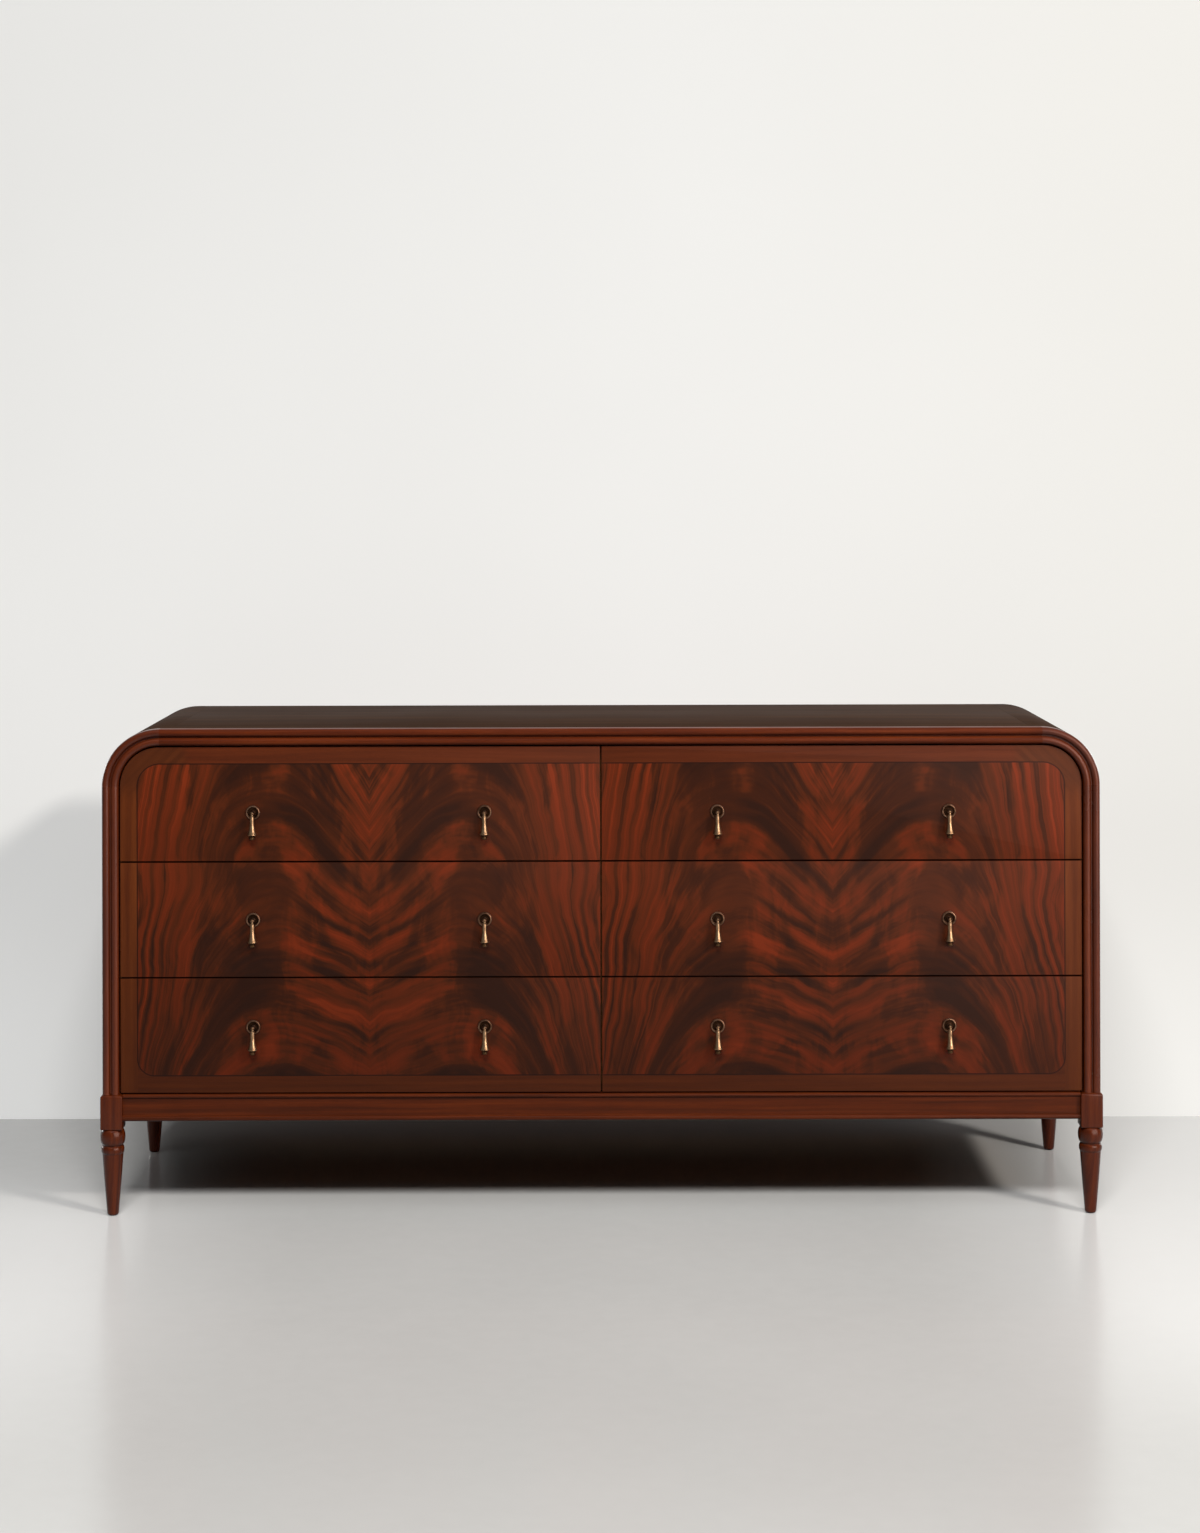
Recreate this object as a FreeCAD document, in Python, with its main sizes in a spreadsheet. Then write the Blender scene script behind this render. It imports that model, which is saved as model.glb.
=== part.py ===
import FreeCAD, Part
import math
import os
import Sketcher

# A dresser of six drawers inside a reeded frame with rounded top corners, on four turned legs.
# Millimetres. +X to the right, the front faces -Y, +Z up. The origin is on the floor under the
# middle of the whole piece. Depths are counted from the front face of the leg blocks, backwards.

doc = FreeCAD.newDocument("Dresser")
sheet = doc.addObject("Spreadsheet::Sheet", "Sizes")

sizes = (
    ("case_width", 1680, "over the outer reeds"),
    ("case_depth", 480, "front of the leg blocks to the back edge"),
    ("case_height", 820, "floor to the top"),
    ("corner_radius", 97, "outside of the rounded top corners"),
    ("panel_thickness", 22, "top, corners and sides"),
    ("top_joint_inset", 115, "side of the case to the joint in the top"),
    ("back_thickness", 8, "back panel"),
    ("partition_thickness", 22, "upright between the two columns"),
    ("bottom_thickness", 12, "board under the lowest drawers"),
    ("divider_thickness", 16, "rails between the drawers"),
    ("divider_depth", 60, "rails between the drawers, front to back"),
    ("panel_clearance", 0.2, "loose panels in their seats"),
    ("reed_width", 13.2, "each of the two round reeds"),
    ("reed_groove", 1.6, "flat between the reeds"),
    ("reed_setback", 2, "front of the leg block to the crest of the reeds"),
    ("moulding_depth", 22, "crest of the reeds to the back of the moulding"),
    ("base_height", 205, "floor to the top of the leg blocks and rails"),
    ("rail_height", 45, "base rails"),
    ("rail_thickness", 25, "face of a base rail to its inside"),
    ("rail_setback", 9, "face of the leg block to the face of the rail"),
    ("rail_bead", 3.4, "radius of the bead along the top of a rail"),
    ("rail_foot_bead", 4.6, "radius of the bead along the foot of a rail"),
    ("glue_block_leg", 52, "corner blocks inside the base frame"),
    ("glue_block_height", 30, "corner blocks inside the base frame"),
    ("leg_block", 37, "square block of a leg"),
    ("leg_proud", 3, "leg block beyond the side of the case"),
    ("block_height", 59, "height of the leg block"),
    ("block_shoulder", 5, "rounding at the top of the leg block"),
    ("block_ease", 2.5, "rounding at the foot of the leg block"),
    ("ring_radius", 21, "large turned ring"),
    ("ring_height", 27, "large turned ring"),
    ("neck_radius", 16.5, "neck between the rings"),
    ("neck_height", 2, "neck between the rings"),
    ("collar_radius", 19.3, "small turned ring"),
    ("collar_height", 12, "small turned ring"),
    ("taper_radius", 17.6, "top of the tapered foot"),
    ("foot_radius", 9.8, "lower end of the tapered foot"),
    ("foot_rounding", 5, "rounding on the floor"),
    ("drawer_gap", 2, "between drawer fronts and around them"),
    ("stop_gap", 0.3, "closed drawer front to the case behind it"),
    ("front_setback", 10, "front of the leg block to the drawer face"),
    ("front_thickness", 20, "drawer front"),
    ("border_width", 29, "plain veneer border around the figured field"),
    ("box_rise", 12, "lower edge of the drawer front to the drawer box"),
    ("box_headroom", 41, "upper edge of the drawer side to that of the drawer front"),
    ("box_length", 420, "drawer sides"),
    ("side_thickness", 14, "drawer sides"),
    ("box_back_thickness", 12, "back of the drawer box"),
    ("tray_thickness", 6, "bottom of the drawer box"),
    ("tray_rise", 10, "lower edge of the drawer side to the bottom panel"),
    ("tray_groove", 5, "depth of the groove that holds the bottom panel"),
    ("runner_gap", 18, "drawer side to the upright beside it"),
    ("runner_height", 16, "wooden runners"),
    ("runner_groove", 7, "depth of the groove that rides on the runner"),
    ("runner_clearance", 0.3, "runner in its groove"),
    ("runner_inset", 14, "back of the drawer front to the end of the runner"),
    ("rosette_radius", 12, "round plate of a pull"),
    ("rosette_edge", 1.4, "height of the plate's rim below its bead"),
    ("rosette_bead", 1.8, "radius of the bead round the plate"),
    ("boss_radius", 4, "flat seat of the post on the plate"),
    ("boss_height", 1, "thickness of the plate in the dish"),
    ("bolt_radius", 2, "threaded end of the post"),
    ("bolt_tail", 0.8, "threaded end beyond the nut"),
    ("bolt_clearance", 0.1, "threaded end in its holes"),
    ("stem_radius", 2.6, "post"),
    ("pivot_reach", 13, "drawer face to the pin of the pendant"),
    ("knob_radius", 4, "ball at the end of the post"),
    ("knob_slot", 3.4, "slot in the ball for the pendant's eye"),
    ("slot_clearance", 0.5, "bottom of the slot to the eye"),
    ("pin_radius", 1.2, "hinge pin"),
    ("pin_length", 7, "hinge pin"),
    ("pin_clearance", 0.05, "hinge pin in its holes"),
    ("nut_radius", 4, "over the corners of the nut"),
    ("nut_thickness", 3.2, "nut"),
    ("recess_radius", 5, "round sinking for the nut"),
    ("recess_depth", 5, "round sinking for the nut"),
    ("eye_thickness", 3, "eye of the pendant"),
    ("eye_radius", 2.9, "eye of the pendant"),
    ("pendant_start", 4.7, "pin to the top of the pendant's neck"),
    ("pendant_neck_radius", 3.8, "neck of the pendant"),
    ("pendant_neck_length", 9.5, "straight part of the neck"),
    ("flare_radius", 8.2, "rim of the pendant's bell"),
    ("flare_length", 21.3, "curved side of the bell"),
    ("flare_curve", 60, "radius of the hollow curve of the bell"),
    ("rim_height", 1.2, "rim of the bell"),
    ("tip_radius", 4.6, "button under the bell"),
    ("tip_height", 5, "button under the bell"),
    ("tip_rounding", 2, "end of the button"),
    ("underside_height", 2.9, "sloping underside of the bell"),
)

for row, (alias, number, note) in enumerate(sizes, start=1):
    sheet.set(f"A{row}", note)
    sheet.set(f"B{row}", str(number))
    sheet.setAlias(f"B{row}", alias)
doc.recompute()

# Places that several pieces share, as expressions on the sheet.
half_width = "(Sizes.case_width / 2)"
reed_band = "(2 * Sizes.reed_width + Sizes.reed_groove)"
moulding_back = "(Sizes.reed_setback + Sizes.moulding_depth)"
corner_x = f"({half_width} - Sizes.corner_radius)"
corner_z = "(Sizes.case_height - Sizes.corner_radius)"
top_joint_x = f"({half_width} - Sizes.top_joint_inset)"
inside_x = f"({half_width} - Sizes.panel_thickness)"
inside_z = "(Sizes.case_height - Sizes.panel_thickness)"
partition_x = "(Sizes.partition_thickness / 2)"
block_x = f"({half_width} + Sizes.leg_proud - Sizes.leg_block)"
leg_x = f"({half_width} + Sizes.leg_proud - Sizes.leg_block / 2)"
block_bottom = "(Sizes.base_height - Sizes.block_height)"
rail_bottom = "(Sizes.base_height - Sizes.rail_height)"
rail_inside = "(Sizes.rail_setback + Sizes.rail_thickness)"
floor_top = "(Sizes.base_height + Sizes.bottom_thickness)"
front_back = "(Sizes.front_setback + Sizes.front_thickness)"
stop_depth = f"({front_back} + Sizes.stop_gap)"
back_depth = "(Sizes.case_depth - Sizes.back_thickness)"

# The drawer fronts fill the opening of the frame in rows of one height.
rows = ("bottom", "middle", "top")
columns = (("left", -1), ("right", 1))
opening_top = f"(Sizes.case_height - {reed_band})"
row_pitch = f"(({opening_top} - Sizes.base_height - Sizes.drawer_gap) / {len(rows)})"
front_height = f"({row_pitch} - Sizes.drawer_gap)"
box_height = f"({front_height} - Sizes.box_rise - Sizes.box_headroom)"
front_inner = "(Sizes.drawer_gap / 2)"
front_outer = f"({half_width} - {reed_band} - Sizes.drawer_gap)"
front_corner = f"(Sizes.corner_radius - {reed_band} - Sizes.drawer_gap)"
box_inner = f"({partition_x} + Sizes.runner_gap)"
box_outer = f"({inside_x} - Sizes.runner_gap)"
tray_top = "(Sizes.tray_rise + Sizes.tray_thickness)"

# Pulls hang at the quarter points of each figured field.
field_outer = f"({front_outer} - Sizes.border_width)"
field_middle = f"(({field_outer} + {front_inner}) / 2)"
field_quarter = f"(({field_outer} - {front_inner}) / 4)"
pulls = (("inner", -1), ("outer", 1))

# The middle of the depth, from the pendants' bells to the rings of the back legs.
front_reach = "(Sizes.pivot_reach + Sizes.flare_radius - Sizes.front_setback)"
back_reach = "(Sizes.case_depth - Sizes.leg_block / 2 + Sizes.ring_radius)"
middle_depth = f"(({back_reach} - {front_reach}) / 2)"

nodes = {}


def value(expression):
    return sheet.evalExpression(expression)


def bind(thing, **expressions):
    for name, expression in expressions.items():
        thing.setExpression(name, expression)
    return thing


def place(thing, x, depth, z):
    thing.setExpression("Placement.Base.x", x)
    thing.setExpression("Placement.Base.y", f"({depth}) - {middle_depth}")
    thing.setExpression("Placement.Base.z", z)
    return thing


def keep(label, thing):
    thing.Label = label
    nodes[label] = thing
    return thing


def spread(side, near, far):
    """The low and high end of a stretch that lies between near and far on one side."""
    if side > 0:
        return near, far
    return f"(-({far}))", f"(-({near}))"


def board(x, depth, z):
    """A straight board from its low and high ends along each axis."""
    piece = doc.addObject("Part::Box", "Board")
    bind(
        piece,
        Length=f"{x[1]} - {x[0]}",
        Width=f"{depth[1]} - {depth[0]}",
        Height=f"{z[1]} - {z[0]}",
    )
    return place(piece, x[0], depth[0], z[0])


def group(label, pieces):
    compound = doc.addObject("Part::Compound", "Group")
    compound.Links = pieces
    return keep(label, compound)


def new_body():
    return doc.addObject("PartDesign::Body", "Body")


def new_sketch(body, role, offset=None):
    sketch = body.newObject("Sketcher::SketchObject", "Sketch")
    plane = [feature for feature in body.Origin.OriginFeatures if feature.Role == role][0]
    sketch.AttachmentSupport = [(plane, "")]
    sketch.MapMode = "FlatFace"
    if offset is not None:
        sketch.setExpression("AttachmentOffset.Base.z", offset)
    return sketch


def fix(sketch, kind, first, second, expression):
    """A distance from the sketch's origin, held by an expression."""
    number = value(expression)
    constraint = Sketcher.Constraint(kind, -1, 1, first, second, number)
    sketch.setExpression(f"Constraints[{sketch.addConstraint(constraint)}]", expression)


def arc_between(start, end, radius, turn):
    """The shorter arc, drawn anticlockwise; turn is 1 where it bulges to the left of its way."""
    chord = end - start
    left = FreeCAD.Vector(-chord.y, chord.x, 0).normalize()
    rise = radius - math.sqrt(radius**2 - chord.Length**2 / 4)
    crest = (start + end) / 2 + left * turn * rise
    return Part.Arc(end, crest, start) if turn > 0 else Part.Arc(start, crest, end)


def outline(body, role, corners, offset=None):
    """A closed sketch. A corner is (x, y), or (x, y, radius, turn) where an arc leaves it."""
    sketch = new_sketch(body, role, offset)
    points = [FreeCAD.Vector(value(corner[0]), value(corner[1]), 0) for corner in corners]
    ends = []
    for index, corner in enumerate(corners):
        start = points[index]
        end = points[(index + 1) % len(points)]
        if len(corner) == 2:
            edge = sketch.addGeometry(Part.LineSegment(start, end), False)
            ends.append((edge, 1, 2))
            continue
        edge = sketch.addGeometry(arc_between(start, end, value(corner[2]), corner[3]), False)
        ends.append((edge, 2, 1) if corner[3] > 0 else (edge, 1, 2))
        radius = sketch.addConstraint(Sketcher.Constraint("Radius", edge, value(corner[2])))
        sketch.setExpression(f"Constraints[{radius}]", corner[2])
    for index, (edge, start, end) in enumerate(ends):
        following, follow_start, _ = ends[(index + 1) % len(ends)]
        sketch.addConstraint(Sketcher.Constraint("Coincident", edge, end, following, follow_start))
    for (edge, start, _), corner in zip(ends, corners):
        fix(sketch, "DistanceX", edge, start, corner[0])
        fix(sketch, "DistanceY", edge, start, corner[1])
    return sketch


def circles(body, role, centres, radius, offset=None):
    sketch = new_sketch(body, role, offset)
    for x, y in centres:
        circle = Part.Circle(FreeCAD.Vector(value(x), value(y), 0), FreeCAD.Vector(0, 0, 1), value(radius))
        edge = sketch.addGeometry(circle, False)
        fix(sketch, "DistanceX", edge, 3, x)
        fix(sketch, "DistanceY", edge, 3, y)
        held = sketch.addConstraint(Sketcher.Constraint("Radius", edge, value(radius)))
        sketch.setExpression(f"Constraints[{held}]", radius)
    return sketch


def pad(body, sketch, length, side="One side", flip=False):
    feature = body.newObject("PartDesign::Pad", "Pad")
    feature.Profile = sketch
    feature.SideType = side
    feature.Reversed = flip
    return bind(feature, Length=length)


def pocket(body, sketch, length, side="One side", flip=False):
    feature = body.newObject("PartDesign::Pocket", "Pocket")
    feature.Profile = sketch
    feature.SideType = side
    feature.Reversed = flip
    return bind(feature, Length=length)


def revolve(body, sketch, angle=360, flip=False):
    feature = body.newObject("PartDesign::Revolution", "Revolution")
    feature.Profile = sketch
    feature.ReferenceAxis = (sketch, ["V_Axis"])
    feature.Angle = angle
    feature.Reversed = flip
    return feature


def bow(span, rise):
    """The radius of an arc that rises over the middle of a span."""
    return f"((({span}) ^ 2 / 4 + ({rise}) ^ 2) / (2 * ({rise})))"


def reed_profile(at, turn):
    """Two round reeds side by side; at turns inset and depth into the sketch's x and y."""
    reed = "Sizes.reed_width / 2"
    second = "(Sizes.reed_width + Sizes.reed_groove)"
    return [
        (*at("0", reed), reed, turn),
        (*at(reed, "0"), reed, turn),
        at("Sizes.reed_width", reed),
        (*at(second, reed), reed, turn),
        (*at(f"{second} + {reed}", "0"), reed, turn),
        at(reed_band, reed),
        at(reed_band, "Sizes.moulding_depth"),
        at("0", "Sizes.moulding_depth"),
    ]


def rail_profile(at, turn):
    """A base rail's section; at turns depth behind the block's face and height into x and y."""
    face = "Sizes.rail_setback"
    foot = "Sizes.rail_foot_bead"
    bead = "Sizes.rail_bead"
    height = "Sizes.rail_height"
    return [
        at(rail_inside, "0"),
        (*at(face, "0"), foot, turn),
        (*at(f"{face} - {foot}", foot), foot, turn),
        at(face, f"2 * {foot}"),
        (*at(face, f"{height} - 2 * {bead}"), bead, turn),
        (*at(f"{face} - {bead}", f"{height} - {bead}"), bead, turn),
        at(face, height),
        at(rail_inside, height),
    ]


def make_reeds():
    """The moulding up both sides and over the top."""
    for hand, side in columns:
        stile = new_body()
        profile = reed_profile(lambda inset, depth: (f"{-side} * ({inset})", depth), side)
        pad(stile, outline(stile, "XY_Plane", profile), f"{corner_z} - Sizes.base_height")
        place(stile, f"{side} * {half_width}", "Sizes.reed_setback", "Sizes.base_height")
        keep(f"reeded_stile_{hand}", stile)

        corner = new_body()
        profile = reed_profile(
            lambda inset, depth: (f"{side} * (Sizes.corner_radius - ({inset}))", depth), side
        )
        revolve(corner, outline(corner, "XY_Plane", profile), 90, flip=side > 0)
        place(corner, f"{side} * {corner_x}", "Sizes.reed_setback", corner_z)
        keep(f"reeded_corner_{hand}", corner)

    rail = new_body()
    profile = reed_profile(lambda inset, depth: (depth, f"-({inset})"), -1)
    pad(rail, outline(rail, "YZ_Plane", profile), f"2 * {corner_x}")
    place(rail, f"-{corner_x}", "Sizes.reed_setback", "Sizes.case_height")
    keep("reeded_rail_top", rail)


def make_shell():
    """Top, rounded corners, sides and back."""
    run = (moulding_back, "Sizes.case_depth")
    top_x = (f"(-{top_joint_x})", top_joint_x)
    keep("top_panel", board(top_x, run, (inside_z, "Sizes.case_height")))
    inner_radius = "(Sizes.corner_radius - Sizes.panel_thickness)"
    flat = f"({corner_x} - {top_joint_x})"
    for hand, side in columns:
        sides = board(spread(side, inside_x, half_width), run, ("Sizes.base_height", corner_z))
        keep(f"side_panel_{hand}", sides)

        corner = new_body()
        across = [
            (f"{side} * Sizes.corner_radius", "0", "Sizes.corner_radius", -side),
            ("0", "Sizes.corner_radius"),
            (f"{-side} * {flat}", "Sizes.corner_radius"),
            (f"{-side} * {flat}", inner_radius),
            ("0", inner_radius, inner_radius, side),
            (f"{side} * {inner_radius}", "0"),
        ]
        pad(corner, outline(corner, "XZ_Plane", across), f"{run[1]} - {run[0]}", flip=True)
        place(corner, f"{side} * {corner_x}", moulding_back, corner_z)
        keep(f"top_corner_{hand}", corner)

    back = new_body()
    edge = f"({inside_x} - Sizes.panel_clearance)"
    top = f"({inside_z} - Sizes.panel_clearance - Sizes.base_height)"
    bend = f"({inner_radius} - Sizes.panel_clearance)"
    spring = f"({corner_z} - Sizes.base_height)"
    across = [
        (f"-{edge}", "0"),
        (edge, "0"),
        (edge, spring, bend, -1),
        (corner_x, top),
        (f"-{corner_x}", top, bend, -1),
        (f"-{edge}", spring),
    ]
    pad(back, outline(back, "XZ_Plane", across), "Sizes.back_thickness", flip=True)
    place(back, "0", back_depth, "Sizes.base_height")
    keep("back_panel", back)


def make_inside():
    """Partition, bottom board, and the rails and runners that carry the drawers."""
    run = (stop_depth, back_depth)
    upright_x = (f"(-{partition_x})", partition_x)
    floor_x = (f"(-{inside_x})", inside_x)
    keep("centre_partition", board(upright_x, run, (floor_top, inside_z)))
    keep("bottom_board", board(floor_x, run, ("Sizes.base_height", floor_top)))

    dividers = []
    runners = []
    divider_run = (stop_depth, f"({stop_depth} + Sizes.divider_depth)")
    runner_run = (f"({front_back} + Sizes.runner_inset)", back_depth)
    reach = "(Sizes.runner_gap + Sizes.runner_groove - Sizes.runner_clearance)"
    for _, side in columns:
        for row in range(1, len(rows)):
            middle = f"(Sizes.base_height + Sizes.drawer_gap / 2 + {row} * {row_pitch})"
            height = (
                f"({middle} - Sizes.divider_thickness / 2)",
                f"({middle} + Sizes.divider_thickness / 2)",
            )
            dividers.append(board(spread(side, partition_x, inside_x), divider_run, height))
        for row in range(len(rows)):
            middle = f"({box_bottom(row)} + {box_height} / 2)"
            height = (f"({middle} - Sizes.runner_height / 2)", f"({middle} + Sizes.runner_height / 2)")
            outer = spread(side, f"({inside_x} - {reach})", inside_x)
            inner = spread(side, partition_x, f"({partition_x} + {reach})")
            runners.append(board(outer, runner_run, height))
            runners.append(board(inner, runner_run, height))
    group("divider_rails", dividers)
    group("drawer_runners", runners)


def make_base():
    """The rails between the leg blocks and the glue blocks in their corners."""
    front = new_body()
    profile = rail_profile(lambda depth, height: (depth, height), 1)
    pad(front, outline(front, "YZ_Plane", profile), f"2 * {block_x}")
    place(front, f"-{block_x}", "0", rail_bottom)
    keep("base_rail_front", front)

    back_face = "(Sizes.case_depth - Sizes.rail_setback)"
    back_run = (f"({back_face} - Sizes.rail_thickness)", back_face)
    back_rail = board((f"(-{block_x})", block_x), back_run, (rail_bottom, "Sizes.base_height"))
    keep("base_rail_back", back_rail)

    block_face = f"({half_width} + Sizes.leg_proud)"
    glue_blocks = []
    for hand, side in columns:
        rail = new_body()
        profile = rail_profile(lambda depth, height: (f"{-side} * ({depth})", height), -side)
        length = "Sizes.case_depth - 2 * Sizes.leg_block"
        pad(rail, outline(rail, "XZ_Plane", profile), length, flip=True)
        place(rail, f"{side} * {block_face}", "Sizes.leg_block", rail_bottom)
        keep(f"base_rail_{hand}", rail)

        for end, depth in ((1, "0"), (-1, "Sizes.case_depth")):
            block = new_body()
            near = rail_inside
            far = f"({near} + Sizes.glue_block_leg)"
            shape = [
                (near, "Sizes.leg_block"),
                ("Sizes.leg_block", "Sizes.leg_block"),
                ("Sizes.leg_block", near),
                (far, near),
                (near, far),
            ]
            corners = [(f"{-side} * ({x})", f"{end} * ({y})") for x, y in shape]
            pad(block, outline(block, "XY_Plane", corners), "Sizes.glue_block_height")
            base = "Sizes.base_height - Sizes.glue_block_height"
            glue_blocks.append(place(block, f"{side} * {block_face}", depth, base))
    group("corner_blocks", glue_blocks)


def edges_at(shape, height):
    """Names of the edges that lie level at a height."""
    names = []
    for number, edge in enumerate(shape.Edges, start=1):
        box = edge.BoundBox
        if abs(box.ZMin - height) < 1e-6 and abs(box.ZMax - height) < 1e-6:
            names.append(f"Edge{number}")
    return names


def make_leg(label, side, depth):
    """A square block over two turned rings and a tapered foot."""
    leg = new_body()
    half = "(Sizes.leg_block / 2)"
    square = [
        (f"-{half}", block_bottom),
        (half, block_bottom),
        (half, "Sizes.base_height"),
        (f"-{half}", "Sizes.base_height"),
    ]
    block = pad(leg, outline(leg, "XZ_Plane", square), "Sizes.leg_block", side="Symmetric")
    doc.recompute()
    for height, radius in (("Sizes.base_height", "block_shoulder"), (block_bottom, "block_ease")):
        rounding = leg.newObject("PartDesign::Fillet", "Fillet")
        rounding.Base = (block, edges_at(block.Shape, value(height)))
        block = bind(rounding, Radius=f"Sizes.{radius}")
        doc.recompute()

    ring_bottom = f"({block_bottom} - Sizes.ring_height)"
    collar_top = f"({ring_bottom} - Sizes.neck_height)"
    collar_bottom = f"({collar_top} - Sizes.collar_height)"
    ring_bow = bow("Sizes.ring_height", "Sizes.ring_radius - Sizes.neck_radius")
    collar_bow = bow("Sizes.collar_height", "Sizes.collar_radius - Sizes.taper_radius")
    turning = [
        ("0", "0"),
        ("Sizes.foot_radius - Sizes.foot_rounding", "0", "Sizes.foot_rounding", -1),
        ("Sizes.foot_radius", "Sizes.foot_rounding"),
        ("Sizes.taper_radius", collar_bottom, collar_bow, -1),
        ("Sizes.taper_radius", collar_top),
        ("Sizes.neck_radius", collar_top),
        ("Sizes.neck_radius", ring_bottom, ring_bow, -1),
        ("Sizes.neck_radius", block_bottom),
        ("0", block_bottom),
    ]
    revolve(leg, outline(leg, "XZ_Plane", turning))
    place(leg, f"{side} * {leg_x}", depth, "0")
    keep(label, leg)


def front_bottom(row):
    return f"(Sizes.base_height + Sizes.drawer_gap + {row} * {row_pitch})"


def box_bottom(row):
    return f"({front_bottom(row)} + Sizes.box_rise)"


def pull_height(row):
    """The middle of the figured field, above the drawer front's lower edge."""
    if row == 0:
        return f"(({front_height} + Sizes.border_width) / 2)"
    if row == len(rows) - 1:
        return f"(({front_height} - Sizes.border_width) / 2)"
    return f"({front_height} / 2)"


def pull_x(side, way):
    return f"({side} * ({field_middle} + {way} * {field_quarter}))"


def make_front(label, side, row):
    """A drawer front, bored for its pulls, sunk for their nuts and grooved for the bottom."""
    front = new_body()
    inner = f"{side} * {front_inner}"
    outer = f"{side} * {front_outer}"
    face = [(inner, "0"), (outer, "0")]
    if row == len(rows) - 1:
        face.append((outer, f"{front_height} - {front_corner}", front_corner, -side))
        face.append((f"{side} * ({front_outer} - {front_corner})", front_height))
    else:
        face.append((outer, front_height))
    face.append((inner, front_height))
    pad(front, outline(front, "XZ_Plane", face), "Sizes.front_thickness", flip=True)

    centres = [(pull_x(side, way), pull_height(row)) for _, way in pulls]
    hole = "Sizes.bolt_radius + Sizes.bolt_clearance"
    pocket(front, circles(front, "XZ_Plane", centres, hole), "Sizes.front_thickness")
    behind = "-Sizes.front_thickness"
    sinking = circles(front, "XZ_Plane", centres, "Sizes.recess_radius", behind)
    pocket(front, sinking, "Sizes.recess_depth", flip=True)

    low = "(Sizes.box_rise + Sizes.tray_rise)"
    high = f"({low} + Sizes.tray_thickness + Sizes.panel_clearance)"
    near = f"{side} * ({box_inner} + Sizes.side_thickness - Sizes.tray_groove)"
    far = f"{side} * ({box_outer} - Sizes.side_thickness + Sizes.tray_groove)"
    groove = [(near, low), (far, low), (far, high), (near, high)]
    pocket(front, outline(front, "XZ_Plane", groove, behind), "Sizes.tray_groove", flip=True)
    place(front, "0", "Sizes.front_setback", front_bottom(row))
    keep(label, front)


def make_side(side, turned, x, row):
    """A drawer side, grooved outside for its runner and inside for the bottom."""
    body = new_body()
    middle = f"({box_height} / 2)"
    half = "(Sizes.runner_height / 2 + Sizes.runner_clearance)"
    thick = "Sizes.side_thickness"
    floor = f"({thick} - Sizes.tray_groove)"
    groove_top = f"({tray_top} + Sizes.panel_clearance)"
    section = [
        ("0", "0"),
        (thick, "0"),
        (thick, "Sizes.tray_rise"),
        (floor, "Sizes.tray_rise"),
        (floor, groove_top),
        (thick, groove_top),
        (thick, box_height),
        ("0", box_height),
        ("0", f"{middle} + {half}"),
        ("Sizes.runner_groove", f"{middle} + {half}"),
        ("Sizes.runner_groove", f"{middle} - {half}"),
        ("0", f"{middle} - {half}"),
    ]
    corners = [(f"{turned} * ({across})", height) for across, height in section]
    pad(body, outline(body, "XZ_Plane", corners), "Sizes.box_length", flip=True)
    return place(body, f"{side} * {x}", front_back, box_bottom(row))


def make_box(name, side, row):
    """The drawer box: two sides, a back that stands on the bottom, and the bottom."""
    inner_side = make_side(side, side, box_inner, row)
    outer_side = make_side(side, -side, box_outer, row)
    clear_x = (f"({box_inner} + Sizes.side_thickness)", f"({box_outer} - Sizes.side_thickness)")
    box_end = f"({front_back} + Sizes.box_length)"
    back_run = (f"({box_end} - Sizes.box_back_thickness)", box_end)
    back_z = (f"({box_bottom(row)} + {tray_top})", f"({box_bottom(row)} + {box_height})")
    back = board(spread(side, *clear_x), back_run, back_z)
    group(f"{name}_drawer_box", [inner_side, outer_side, back])

    tuck = "(Sizes.tray_groove - Sizes.panel_clearance)"
    tray_x = spread(side, f"({clear_x[0]} - {tuck})", f"({clear_x[1]} + {tuck})")
    tray_run = (f"({front_back} - {tuck})", box_end)
    tray_z = (f"({box_bottom(row)} + Sizes.tray_rise)", f"({box_bottom(row)} + {tray_top})")
    keep(f"{name}_drawer_bottom", board(tray_x, tray_run, tray_z))


def make_rosette(x, z):
    """A round plate with a beaded rim and a shallow dish."""
    plate = new_body()
    hole = "(Sizes.bolt_radius + Sizes.bolt_clearance)"
    bead = "Sizes.rosette_bead"
    rim = "Sizes.rosette_radius"
    section = [
        (hole, "0"),
        (rim, "0"),
        (rim, "-Sizes.rosette_edge", bead, 1),
        (f"{rim} - {bead}", f"-(Sizes.rosette_edge + {bead})", bead, 1),
        (f"{rim} - 2 * {bead}", "-Sizes.rosette_edge"),
        ("Sizes.boss_radius", "-Sizes.boss_height"),
        (hole, "-Sizes.boss_height"),
    ]
    revolve(plate, outline(plate, "XY_Plane", section))
    return place(plate, x, "Sizes.front_setback", z)


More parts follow.
